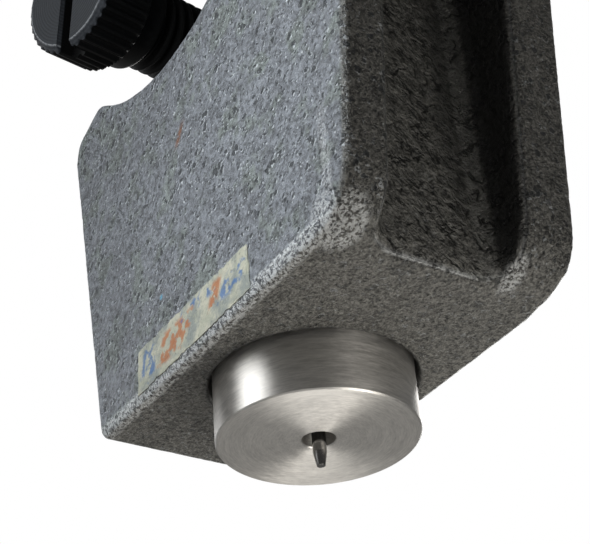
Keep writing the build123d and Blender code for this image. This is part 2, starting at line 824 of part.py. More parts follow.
rack_crest = -rack_pitch_offset - addendum_share * gear_module
rack_root = -rack_pitch_offset + dedendum_share * gear_module
rack_low = wheel_z - (rack_gaps_below + 1) * tooth_pitch
flank_slope = tan(radians(pressure_angle))
gap_half = (1 - tooth_share) * tooth_pitch / 2

with BuildPart() as push_rod:
    with BuildSketch(Plane.XY.offset(yoke_bottom)):
        with Locations((0, push_rod_y)):
            Circle(push_rod_radius)
    extrude(amount=push_rod_top - yoke_bottom)
    # flat side that carries the rack
    with BuildSketch(Plane.XY.offset(rack_low)):
        with Locations((rack_crest, push_rod_y)):
            Rectangle(push_rod_radius, 3 * push_rod_radius, align=(Align.MAX, Align.CENTER))
    extrude(amount=push_rod_top - rack_low, mode=Mode.SUBTRACT)
    with BuildSketch(front_plane(0, push_rod_y + 2 * push_rod_radius, 0)):
        for gap in range(-rack_gaps_below, rack_gaps_above + 1):
            middle = wheel_z + gap * tooth_pitch
            mouth = gap_half + (addendum_share * gear_module + 0.1) * flank_slope
            floor = gap_half - dedendum_share * gear_module * flank_slope
            with BuildLine():
                Polyline(
                    (rack_crest - 0.1, middle - mouth),
                    (rack_root, middle - floor),
                    (rack_root, middle + floor),
                    (rack_crest - 0.1, middle + mouth),
                    (rack_crest - 0.1, middle - mouth),
                )
            make_face()
    extrude(amount=4 * push_rod_radius, mode=Mode.SUBTRACT)
finish(push_rod, "push_rod")

with BuildPart() as rod_guide_bush:
    with BuildSketch(Plane.XY.offset(guide_bottom)):
        with Locations((0, push_rod_y)):
            Circle(push_rod_radius + running_gap + guide_wall)
            Circle(push_rod_radius + running_gap, mode=Mode.SUBTRACT)
    extrude(amount=guide_length)
finish(rod_guide_bush, "rod_guide_bush")

# ---------------------------------------------------------------- movement

back_plate_front = ledge_front - plate_thickness
movement_screw_back = upper_back - cover_thickness - screw_end_gap
front_plate_front = front_plate_back - plate_thickness
dial_back = front_plate_front - dial_post_height
dial_front = dial_back - dial_thickness

with BuildPart() as movement_back_plate:
    with BuildSketch(front_plane(head_x, ledge_front, head_height)):
        Circle(case_radius - plate_gap)
        Circle(pivot_radius + running_gap, mode=Mode.SUBTRACT)
        with Locations((wheel_x - head_x, wheel_z - head_height)):
            Circle(pivot_radius + running_gap, mode=Mode.SUBTRACT)
        with PolarLocations(movement_screw_circle, 3):
            Circle(small_screw_radius + seat_gap, mode=Mode.SUBTRACT)
    extrude(amount=plate_thickness)
finish(movement_back_plate, "movement_back_plate")

with BuildPart() as movement_front_plate:
    with BuildSketch(front_plane(head_x, front_plate_back, head_height)):
        Circle(front_plate_radius)
        Circle(arbor_radius + running_gap, mode=Mode.SUBTRACT)
        with Locations((wheel_x - head_x, wheel_z - head_height)):
            Circle(pivot_radius + running_gap, mode=Mode.SUBTRACT)
        with PolarLocations(pillar_circle, 3, start_angle=60):
            Circle(small_screw_radius + seat_gap, mode=Mode.SUBTRACT)
    extrude(amount=plate_thickness)
    with BuildSketch(front_plane(head_x, front_plate_front, head_height)):
        with GridLocations(2 * dial_post_spread, 1, 2, 1):
            Circle(dial_post_radius)
            Circle(small_screw_radius + seat_gap, mode=Mode.SUBTRACT)
    extrude(amount=dial_post_height)
finish(movement_front_plate, "movement_front_plate")

with BuildPart() as plate_pillars:
    with BuildSketch(front_plane(head_x, back_plate_front, head_height)):
        with PolarLocations(pillar_circle, 3, start_angle=60):
            Circle(pillar_radius)
    extrude(amount=back_plate_front - front_plate_back)
    with BuildSketch(front_plane(head_x, front_plate_back, head_height)):
        with PolarLocations(pillar_circle, 3, start_angle=60):
            Circle(small_screw_radius + seat_gap)
    extrude(amount=-2 * pillar_radius, mode=Mode.SUBTRACT)
finish(plate_pillars, "plate_pillars")

with BuildPart() as pillar_screws:
    with BuildSketch(front_plane(head_x, front_plate_back + pillar_radius, head_height)):
        with PolarLocations(pillar_circle, 3, start_angle=60):
            Circle(small_screw_radius)
    extrude(amount=pillar_radius + plate_thickness)
    with BuildSketch(front_plane(head_x, front_plate_front, head_height)):
        with PolarLocations(pillar_circle, 3, start_angle=60):
            Circle(small_head_radius)
    extrude(amount=small_head_height)
finish(pillar_screws, "pillar_screws")

with BuildPart() as movement_screws:
    with BuildSketch(front_plane(head_x, movement_screw_back, head_height)):
        with PolarLocations(movement_screw_circle, 3):
            Circle(small_screw_radius)
    extrude(amount=movement_screw_back - back_plate_front)
    with BuildSketch(front_plane(head_x, back_plate_front, head_height)):
        with PolarLocations(movement_screw_circle, 3):
            Circle(small_head_radius)
    extrude(amount=small_head_height)
finish(movement_screws, "movement_screws")

rack_pinion_back = push_rod_y + push_rod_radius + rack_pinion_overlap
rack_pinion_width = 2 * (push_rod_radius + rack_pinion_overlap)

with BuildPart() as transfer_arbor:
    with BuildSketch(front_plane(wheel_x, ledge_front - arbor_shake, wheel_z)):
        Circle(pivot_radius)
    extrude(amount=ledge_front - front_plate_front - 2 * arbor_shake)
    with BuildSketch(front_plane(wheel_x, back_plate_front - arbor_shake, wheel_z)):
        Circle(transfer_arbor_radius)
    extrude(amount=back_plate_front - front_plate_back - 2 * arbor_shake)
finish(transfer_arbor, "transfer_arbor")

with BuildPart() as rack_pinion:
    with BuildSketch(front_plane(wheel_x, rack_pinion_back, wheel_z)):
        with BuildLine():
            Polyline(gear_outline(rack_pinion_teeth, 0), close=True)
        make_face()
        Circle(transfer_arbor_radius + seat_gap, mode=Mode.SUBTRACT)
    extrude(amount=rack_pinion_width)
finish(rack_pinion, "rack_pinion")

with BuildPart() as transfer_wheel:
    with BuildSketch(front_plane(wheel_x, wheel_back, wheel_z)):
        with BuildLine():
            Polyline(gear_outline(wheel_teeth, gear_line), close=True)
        make_face()
        with PolarLocations(wheel_hole_circle_share * wheel_radius, 4):
            Circle(wheel_hole_share * wheel_radius, mode=Mode.SUBTRACT)
    extrude(amount=wheel_thickness)
    with BuildSketch(front_plane(wheel_x, wheel_back + wheel_thickness, wheel_z)):
        Circle(2 * transfer_arbor_radius)
    extrude(amount=wheel_thickness)
    with BuildSketch(front_plane(wheel_x, wheel_back + wheel_thickness, wheel_z)):
        Circle(transfer_arbor_radius + seat_gap)
    extrude(amount=2 * wheel_thickness, mode=Mode.SUBTRACT)
finish(transfer_wheel, "transfer_wheel")

pointer_back = dial_front - pointer_height
arbor_front = pointer_back - pointer_thickness - arbor_end_out

with BuildPart() as centre_arbor:
    with BuildSketch(front_plane(head_x, ledge_front - arbor_shake, head_height)):
        Circle(pivot_radius)
    extrude(amount=plate_thickness)
    with BuildSketch(front_plane(head_x, back_plate_front - arbor_shake, head_height)):
        Circle(arbor_radius)
    extrude(amount=back_plate_front - arbor_shake - arbor_front)
finish(centre_arbor, "centre_arbor")

half_pinion_step = 180 / centre_pinion_teeth

with BuildPart() as centre_pinion:
    with BuildSketch(front_plane(head_x, wheel_back + wheel_thickness, head_height)):
        with BuildLine():
            Polyline(gear_outline(centre_pinion_teeth, gear_line + 180 + half_pinion_step), close=True)
        make_face()
        Circle(arbor_radius + seat_gap, mode=Mode.SUBTRACT)
    extrude(amount=3 * wheel_thickness)
finish(centre_pinion, "centre_pinion")

hairspring_back = push_rod_y - push_rod_radius - hairspring_clearance
collet_radius = hairspring_inner - collet_gap

with BuildPart() as hairspring_collet:
    with BuildSketch(front_plane(head_x, hairspring_back + collet_over, head_height)):
        Circle(collet_radius)
        Circle(arbor_radius + seat_gap, mode=Mode.SUBTRACT)
    extrude(amount=hairspring_width + 2 * collet_over)
finish(hairspring_collet, "hairspring_collet")

spiral_steps = 36 * hairspring_turns


def spiral_point(step, shift):
    """Point of the hairspring's spiral, moved outwards by shift."""
    share = step / spiral_steps
    radius = hairspring_inner + (hairspring_outer - hairspring_inner) * share + shift
    angle = radians(hairspring_start_angle + 360 * hairspring_turns * share)
    return (radius * cos(angle), radius * sin(angle))


with BuildPart() as hairspring:
    with BuildSketch(front_plane(head_x, hairspring_back, head_height)):
        with BuildLine():
            inner_side = [spiral_point(step, 0) for step in range(spiral_steps + 1)]
            outer_side = [spiral_point(step, hairspring_strip) for step in range(spiral_steps + 1)]
            Polyline(inner_side + outer_side[::-1], close=True)
        make_face()
    extrude(amount=hairspring_width)
finish(hairspring, "hairspring")

with BuildPart() as hairspring_stud:
    stud_x, stud_z = on_circle(hairspring_outer + hairspring_strip + stud_radius, hairspring_start_angle)
    with BuildSketch(front_plane(stud_x, back_plate_front, stud_z)):
        Circle(stud_radius)
    extrude(amount=back_plate_front - hairspring_back + hairspring_width + stud_over)
finish(hairspring_stud, "hairspring_stud")

with BuildPart() as dial_plate:
    with BuildSketch(front_plane(head_x, dial_back, head_height)):
        Circle(dial_radius)
        Circle(2 * arbor_radius, mode=Mode.SUBTRACT)
        with GridLocations(2 * dial_post_spread, 1, 2, 1):
            Circle(small_screw_radius + seat_gap, mode=Mode.SUBTRACT)
    extrude(amount=dial_thickness)
finish(dial_plate, "dial_plate")

with BuildPart() as dial_screws:
    with BuildSketch(front_plane(head_x, front_plate_front, head_height)):
        with GridLocations(2 * dial_post_spread, 1, 2, 1):
            Circle(small_screw_radius)
    extrude(amount=dial_post_height + dial_thickness)
    with BuildSketch(front_plane(head_x, dial_front, head_height)):
        with GridLocations(2 * dial_post_spread, 1, 2, 1):
            Circle(small_head_radius)
    extrude(amount=dial_head_height)
finish(dial_screws, "dial_screws")

# The scale runs clockwise from its zero to 100, as far as the gears turn the pointer.
pointer_sweep = degrees(indenter_travel / rack_pinion_radius * wheel_teeth / centre_pinion_teeth)
zero_angle = 90 + pointer_sweep / 2

with BuildPart() as pointer:
    with BuildSketch(front_plane(head_x, pointer_back, head_height)):
        with BuildLine():
            Polyline(
                (-pointer_tail, pointer_tail_half_width),
                (pointer_length, pointer_tip_half_width),
                (pointer_length, -pointer_tip_half_width),
                (-pointer_tail, -pointer_tail_half_width),
                close=True,
            )
        make_face()
        Circle(pointer_hub_radius)
    extrude(amount=pointer_thickness)
    with BuildSketch(front_plane(head_x, pointer_back + pointer_hub_length - pointer_thickness, head_height)):
        Circle(pointer_hub_radius)
    extrude(amount=pointer_hub_length)
    with BuildSketch(front_plane(head_x, pointer_back + 2 * pointer_hub_length, head_height)):
        Circle(arbor_radius + seat_gap)
    extrude(amount=4 * pointer_hub_length, mode=Mode.SUBTRACT)
pointer.part = pointer.part.rotate(Axis((head_x, 0, head_height), (0, -1, 0)), zero_angle)
finish(pointer, "pointer")

# ---------------------------------------------------------------- bezel and crystal

collar_front = -block_front - collar_height
gasket_front = collar_front - gasket_thickness
crystal_front = gasket_front - crystal_thickness
bezel_front = crystal_front - bezel_lip

with BuildPart() as crystal_gasket:
    with BuildSketch(front_plane(head_x, collar_front, head_height)):
        Circle(collar_outer_radius - cover_gap)
        Circle(case_radius + gasket_inset, mode=Mode.SUBTRACT)
    extrude(amount=gasket_thickness)
finish(crystal_gasket, "crystal_gasket")

with BuildPart() as crystal:
    with BuildSketch(front_plane(head_x, gasket_front, head_height)):
        Circle(collar_outer_radius - crystal_gap)
    extrude(amount=crystal_thickness)
finish(crystal, "crystal")

with BuildPart() as bezel:
    with BuildSketch(front_plane(head_x, -block_front, head_height)):
        Circle(bezel_radius)
    extrude(amount=-bezel_front - block_front)
    chamfer(bezel.edges().sort_by(Axis.Y)[0], bezel_chamfer)
    with BuildSketch(front_plane(head_x, -block_front, head_height)):
        Circle(collar_outer_radius + cover_gap)
    extrude(amount=-crystal_front - block_front, mode=Mode.SUBTRACT)
    with BuildSketch(front_plane(head_x, crystal_front, head_height)):
        Circle(bezel_opening)
    extrude(amount=bezel_lip, mode=Mode.SUBTRACT)
finish(bezel, "bezel")

print("head centre x %.3f, radius %.3f" % (head_x, head_radius))
print("wheel centre x %.3f, z %.3f, pointer sweep %.2f degrees" % (wheel_x, wheel_z, pointer_sweep))
print("rod bore x %.3f, y %.3f, z %.3f" % (rod_x, rod_y, rod_z))
print("clamp axis", tuple(round(value, 6) for value in clamp_axis))
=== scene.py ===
import bpy
import bmesh
import json
import math
import numpy as np
from mathutils import Matrix, Vector, noise
from mathutils.bvhtree import BVHTree
from mathutils.kdtree import KDTree


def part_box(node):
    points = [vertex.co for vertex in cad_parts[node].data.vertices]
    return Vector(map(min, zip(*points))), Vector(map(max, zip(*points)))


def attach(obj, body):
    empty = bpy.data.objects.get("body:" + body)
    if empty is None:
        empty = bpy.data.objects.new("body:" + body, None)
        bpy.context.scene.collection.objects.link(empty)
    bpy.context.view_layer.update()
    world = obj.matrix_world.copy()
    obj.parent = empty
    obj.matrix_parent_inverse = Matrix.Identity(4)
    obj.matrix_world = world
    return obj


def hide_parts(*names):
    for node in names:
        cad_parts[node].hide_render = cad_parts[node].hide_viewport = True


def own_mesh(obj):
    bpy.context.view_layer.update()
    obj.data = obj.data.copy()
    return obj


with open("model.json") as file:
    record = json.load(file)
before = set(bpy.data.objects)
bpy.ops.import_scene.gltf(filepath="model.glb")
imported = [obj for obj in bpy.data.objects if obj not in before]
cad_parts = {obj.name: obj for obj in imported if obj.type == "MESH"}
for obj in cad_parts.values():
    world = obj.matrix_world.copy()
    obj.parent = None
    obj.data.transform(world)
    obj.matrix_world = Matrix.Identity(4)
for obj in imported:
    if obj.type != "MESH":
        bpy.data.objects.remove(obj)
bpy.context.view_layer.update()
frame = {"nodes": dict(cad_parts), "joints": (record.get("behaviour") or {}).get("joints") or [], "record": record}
NODES = frame["nodes"]
RECORD = frame["record"]
JOINTS = {j["name"]: j for j in frame["joints"]}
MOUNTS = {m["name"]: m for m in RECORD["mounts"]}
MM = 0.001
scene = bpy.context.scene

# ---------------------------------------------------------------- camera, from a perspective fit of the photograph
PHOTO_WIDTH = 590.0         # pixels
FOCAL_LENGTH = 1528.0       # pixels
SENSOR_WIDTH = 36.0         # mm
CAMERA_AT = Vector((96.7, -67.91, -60.93)) * MM

right = Vector((0.529, 0.8458, -0.0692))
down = Vector((-0.5009, 0.2454, -0.83))
forward = right.cross(down).normalized()
right = down.cross(forward).normalized()
down = forward.cross(right).normalized()
cam_data = bpy.data.cameras.new("camera")
cam = bpy.data.objects.new("camera", cam_data)
scene.collection.objects.link(cam)
rot = Matrix((right, -down, -forward)).transposed()
cam.matrix_world = Matrix.Translation(CAMERA_AT) @ rot.to_4x4()
cam_data.sensor_fit = "HORIZONTAL"
cam_data.sensor_width = SENSOR_WIDTH
cam_data.lens = FOCAL_LENGTH * SENSOR_WIDTH / PHOTO_WIDTH
cam_data.clip_start = 0.005
cam_data.clip_end = 20.0
scene.camera = cam

# ---------------------------------------------------------------- places read from the frame
head_lo, head_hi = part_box("bezel")
HEAD = Vector(((head_lo.x + head_hi.x) / 2, 0, (head_lo.z + head_hi.z) / 2))
BODY_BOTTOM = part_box("cast_body")[0].z
tape_lo, tape_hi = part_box("label_tape")
FRONT = tape_hi.y           # front face of the block
foot_lo, foot_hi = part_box("presser_foot")
FOOT_R = (foot_hi.x - foot_lo.x) / 2
clamp_joint = JOINTS["clamp_turn"]
CLAMP_P = Vector(clamp_joint["pos_m"])
CLAMP_A = Vector(clamp_joint["axis"]).normalized()
BORE_P = Vector(MOUNTS["stand_bore"]["pos_m"])
BORE_R = MOUNTS["stand_bore"]["dims"]["r_mm"] * MM


# ---------------------------------------------------------------- material helpers
class Mat:
    """A material under construction: short calls for the nodes that the pieces share."""

    def __init__(self, name):
        self.m = bpy.data.materials.new(name)
        self.m.use_nodes = True
        self.t = self.m.node_tree
        self.t.nodes.clear()
        out = self.t.nodes.new("ShaderNodeOutputMaterial")
        self.p = self.t.nodes.new("ShaderNodeBsdfPrincipled")
        self.t.links.new(self.p.outputs[0], out.inputs[0])
        self.pos = self.t.nodes.new("ShaderNodeTexCoord").outputs["Object"]

    def put(self, socket, value):
        if isinstance(value, bpy.types.NodeSocket):
            self.t.links.new(value, socket)
        elif hasattr(socket.default_value, "__len__") and not hasattr(value, "__len__"):
            socket.default_value = [value] * len(socket.default_value)
        elif hasattr(value, "__len__") and len(value) == 3 and len(socket.default_value) == 4:
            socket.default_value = (*value, 1)
        else:
            socket.default_value = value

    def set(self, **inputs):
        for key, value in inputs.items():
            self.put(self.p.inputs[key.replace("_", " ")], value)

    def math(self, op, a, b=0.0, c=0.0, clamp=False):
        n = self.t.nodes.new("ShaderNodeMath")
        n.operation = op
        n.use_clamp = clamp
        for socket, value in zip(n.inputs, (a, b, c)):
            self.put(socket, value)
        return n.outputs[0]

    def mul(self, a, b, clamp=False):
        return self.math("MULTIPLY", a, b, clamp=clamp)

    def add(self, a, b):
        return self.math("ADD", a, b)

    def sub(self, a, b):
        return self.math("SUBTRACT", a, b)

    def max(self, a, b, clamp=False):
        return self.math("MAXIMUM", a, b, clamp=clamp)

    def vec(self, op, a, b=(0, 0, 0)):
        n = self.t.nodes.new("ShaderNodeVectorMath")
        n.operation = op
        self.put(n.inputs[0], a)
        if op == "SCALE":
            self.put(n.inputs["Scale"], b)
        else:
            self.put(n.inputs[1], b)
        return n.outputs["Value" if op in ("DOT_PRODUCT", "DISTANCE") else "Vector"]

    def noise(self, scale, detail=3.0, rough=0.5, vector=None, distort=0.0):
        n = self.t.nodes.new("ShaderNodeTexNoise")
        self.put(n.inputs["Vector"], vector or self.pos)
        n.inputs["Scale"].default_value = scale
        n.inputs["Detail"].default_value = detail
        n.inputs["Roughness"].default_value = rough
        n.inputs["Distortion"].default_value = distort
        return n.outputs["Fac"]

    def voronoi(self, scale, vector):
        n = self.t.nodes.new("ShaderNodeTexVoronoi")
        self.put(n.inputs["Vector"], vector)
        n.inputs["Scale"].default_value = scale
        return n.outputs["Distance"]

    def ramp(self, value, lo, hi, a=0.0, b=1.0, smooth=False):
        n = self.t.nodes.new("ShaderNodeMapRange")
        if smooth:
            n.interpolation_type = "SMOOTHSTEP"
        self.put(n.inputs["Value"], value)
        n.inputs["From Min"].default_value = lo
        n.inputs["From Max"].default_value = hi
        n.inputs["To Min"].default_value = a
        n.inputs["To Max"].default_value = b
        return n.outputs[0]

    def mix(self, fac, a, b):
        n = self.t.nodes.new("ShaderNodeMix")
        n.data_type = "RGBA"
        self.put(n.inputs["Factor"], fac)
        self.put(n.inputs["A"], a)
        self.put(n.inputs["B"], b)
        return n.outputs["Result"]

    def attr(self, name):
        n = self.t.nodes.new("ShaderNodeAttribute")
        n.attribute_name = name
        return n.outputs["Fac"]

    def xyz(self):
        n = self.t.nodes.new("ShaderNodeSeparateXYZ")
        self.put(n.inputs[0], self.pos)
        return n.outputs

    def combine(self, x, y, z):
        n = self.t.nodes.new("ShaderNodeCombineXYZ")
        for socket, value in zip(n.inputs, (x, y, z)):
            self.put(socket, value)
        return n.outputs[0]

    def bump(self, height, distance):
        n = self.t.nodes.new("ShaderNodeBump")
        self.put(n.inputs["Height"], height)
        n.inputs["Distance"].default_value = distance
        n.inputs["Strength"].default_value = 1.0
        return n.outputs[0]


def metal(name, colour, rough, metallic=1.0, scale=900.0, bump=0.000004, vary=0.25, dark=0.8):
    """A fine-grained metal or paint whose colour and gloss vary a little."""
    k = Mat(name)
    fine = k.noise(scale * 4, 4)
    broad = k.noise(scale * 0.3, 3)
    k.set(
        Metallic=metallic,
        Base_Color=k.mix(k.ramp(broad, 0.35, 0.65), [c * dark for c in colour], colour),
        Roughness=k.ramp(fine, 0.3, 0.7, rough * (1 - vary), rough * (1 + vary)),
        Normal=k.bump(fine, bump),
    )
    return k.m


def turned_metal(name, colour, rough, centre, axis, ring_scale, ring_bump, dark=0.8, metallic=1.0, aniso=0.0,
                 arcs=5.0, spread=0.2):
    """A turned metal: fine rings, broken into arcs, round an axis that goes through a point."""
    k = Mat(name)
    a = Vector(axis).normalized()
    side, up = axis_frame(a)
    d = k.vec("SUBTRACT", k.pos, tuple(centre))
    z = k.vec("DOT_PRODUCT", d, tuple(a))
    x = k.vec("DOT_PRODUCT", d, tuple(side))
    y = k.vec("DOT_PRODUCT", d, tuple(up))
    r = k.math("SQRT", k.add(k.mul(x, x), k.mul(y, y)))
    turn = k.math("ARCTAN2", x, y)
    ring_at = k.combine(k.mul(r, ring_scale), k.mul(z, ring_scale), k.mul(turn, arcs))
    rings = k.noise(1.0, 4, 0.7, vector=ring_at)
    coarse = k.noise(0.22, 3, 0.6, vector=ring_at)
    both = k.add(k.mul(rings, 0.65), k.mul(coarse, 0.35))
    k.set(
        Metallic=metallic,
        Base_Color=k.mix(k.ramp(both, 0.36, 0.62), [c * dark for c in colour], colour),
        Roughness=k.ramp(both, 0.3, 0.7, rough * (1 - spread), rough * (1 + spread)),
        Normal=k.bump(both, ring_bump),
    )
    if aniso:
        radial = k.vec("SUBTRACT", d, k.vec("SCALE", tuple(a), z))
        along_ring = k.vec("CROSS_PRODUCT", tuple(a), radial)
        geometry = k.t.nodes.new("ShaderNodeNewGeometry")
        across = k.vec("NORMALIZE", k.vec("CROSS_PRODUCT", geometry.outputs["Normal"], along_ring))
        k.set(Anisotropic=aniso, Tangent=across)
    return k.m


# ---------------------------------------------------------------- mesh helpers
def make_object(name, verts, faces, material=None, smooth=True):
    mesh = bpy.data.meshes.new(name)
    mesh.from_pydata([tuple(v) for v in verts], [], faces)
    mesh.validate()
    mesh.update()
    ob = bpy.data.objects.new(name, mesh)
    scene.collection.objects.link(ob)
    if material:
        mesh.materials.append(material)
    mesh.shade_smooth() if smooth else mesh.shade_flat()
    return ob


def axis_frame(axis):
    """Two directions across an axis."""
    a = Vector(axis).normalized()
    side = Vector((0, 0, 1)).cross(a) if abs(a.z) < 0.9 else Vector((1, 0, 0))
    side = (side - a * side.dot(a)).normalized()
    return side, a.cross(side)


TOOTH_PHASES = (0.0, 0.2, 0.36, 0.54, 0.66, 0.84)     # where a tooth has points, as shares of its pitch
TOOTH_CREST = 0.2                                     # its flat crest, and each of its two flanks
TOOTH_FLANK = 0.4


def lathe(name, profile, origin, axis, material, segments=128, closed=True, teeth=None):
    """Turns a profile of (radius, distance along the axis) points in metres, about an axis through origin.

    teeth is (count, crest radius, depth, from, to): V grooves along the axis between two distances,
    which cut every point of the profile that stands outside them."""
    u, v = axis_frame(axis)
    a = Vector(axis).normalized()
    o = Vector(origin)
    angles = [s / segments for s in range(segments)]
    if teeth:
        angles = [(n + phase) / teeth[0] for n in range(teeth[0]) for phase in TOOTH_PHASES]
    verts, faces, rows = [], [], []
    for r, z in profile:
        if r < 1e-9:
            rows.append([len(verts)])
            verts.append(o + a * z)
            continue
        row = []
        for share in angles:
            t = 2 * math.pi * share
            rr = r
            if teeth and teeth[3] <= z <= teeth[4]:
                phase = (share * teeth[0]) % 1.0
                groove = max(0.0, min(1.0, (phase - TOOTH_CREST) / TOOTH_FLANK, (1.0 - phase) / TOOTH_FLANK))
                rr = min(r, teeth[1] - teeth[2] * groove)
            row.append(len(verts))
            verts.append(o + a * z + u * (rr * math.cos(t)) + v * (rr * math.sin(t)))
        rows.append(row)
    pairs = list(zip(rows, rows[1:]))
    if closed:
        pairs.append((rows[-1], rows[0]))
    count = len(angles)
    for p, q in pairs:
        if len(p) == 1 and len(q) == 1:
            continue
        for s in range(count):
            e = (s + 1) % count
            if len(p) == 1:
                faces.append((p[0], q[e], q[s]))
            elif len(q) == 1:
                faces.append((p[s], p[e], q[0]))
            else:
                faces.append((p[s], p[e], q[e], q[s]))
    ob = make_object(name, verts, faces, material)
    fix_normals(ob)
    return ob


def join(name, parts):
    """One mesh object from several."""
    verts, faces = [], []
    for ob in parts:
        base = len(verts)
        verts += [tuple(q.co) for q in ob.data.vertices]
        faces += [tuple(base + i for i in p.vertices) for p in ob.data.polygons]
        material = ob.data.materials[0]
        old = ob.data
        bpy.data.objects.remove(ob)
        bpy.data.meshes.remove(old)
    return make_object(name, verts, faces, material)


def cut_away(ob, cutter):
    """Takes the cutter's solid out of an object, for good."""
    mod = ob.modifiers.new("cut", "BOOLEAN")
    mod.operation = "DIFFERENCE"
    mod.solver = "EXACT"
    mod.object = cutter
    deps = bpy.context.evaluated_depsgraph_get()
    mesh = bpy.data.meshes.new_from_object(ob.evaluated_get(deps))
    ob.modifiers.clear()
    old = ob.data
    ob.data = mesh
    bpy.data.meshes.remove(old)
    old = cutter.data
    bpy.data.objects.remove(cutter)
    bpy.data.meshes.remove(old)


def block(name, centre, x_dir, y_dir, z_dir, size):
    """A box by its centre, directions and full sizes, for cutting with."""
    corners = []
    for sz in (-1, 1):
        for sx, sy in ((-1, -1), (1, -1), (1, 1), (-1, 1)):
            corners.append(Vector(centre) + x_dir * (sx * size[0] / 2) + y_dir * (sy * size[1] / 2)
                           + z_dir * (sz * size[2] / 2))
    faces = [(0, 3, 2, 1), (4, 5, 6, 7), (0, 1, 5, 4), (1, 2, 6, 5), (2, 3, 7, 6), (3, 0, 4, 7)]
    return make_object(name, corners, faces)


def fix_normals(ob):
    bm = bmesh.new()
    bm.from_mesh(ob.data)
    bmesh.ops.recalc_face_normals(bm, faces=bm.faces)
    bm.to_mesh(ob.data)
    bm.free()


def sharp_by_angle(ob, degrees):
    """Smooth shading with hard edges where faces meet at more than an angle."""
    bm = bmesh.new()
    bm.from_mesh(ob.data)
    limit = math.radians(degrees)
    for e in bm.edges:
        e.smooth = len(e.link_faces) == 2 and e.calc_face_angle(0) < limit
    for f in bm.faces:
        f.smooth = True
    bm.to_mesh(ob.data)
    bm.free()


def rounded(points, radius, steps=4):
    """A profile with its corners rounded: each inner point becomes a short arc."""
    out = [points[0]]
    for i in range(1, len(points) - 1):
        p0, p, p1 = (np.array(points[j], float) for j in (i - 1, i, i + 1))
        r = radius[i] if isinstance(radius, (list, tuple)) else radius
        a, b = p0 - p, p1 - p
        la, lb = np.linalg.norm(a), np.linalg.norm(b)
        a, b = a / la, b / lb
        half = math.acos(max(-1, min(1, float(a @ b)))) / 2
        if r <= 0 or half < 1e-3 or half > math.pi / 2 - 1e-3:
            out.append(tuple(p))
            continue
        cut = min(r / math.tan(half), la * 0.45, lb * 0.45)
        for s in range(steps + 1):
            t = s / steps
            q = (1 - t) ** 2 * (p + a * cut) + 2 * t * (1 - t) * p + t * t * (p + b * cut)
            out.append(tuple(q))
    out.append(points[-1])
    return out


# ---------------------------------------------------------------- the cast body's surface
VOXEL = 0.30 * MM
CAST_EDGE_ANGLE = math.radians(28)      # a sharper edge than this is rounded
EDGE_STEP = 0.5 * MM                    # between the points that stand for such an edge
ROUNDING_STEPS = 26
CHANNEL_FLOOR = 19.9 * MM               # where the channel's floor comes out at the bottom, along X


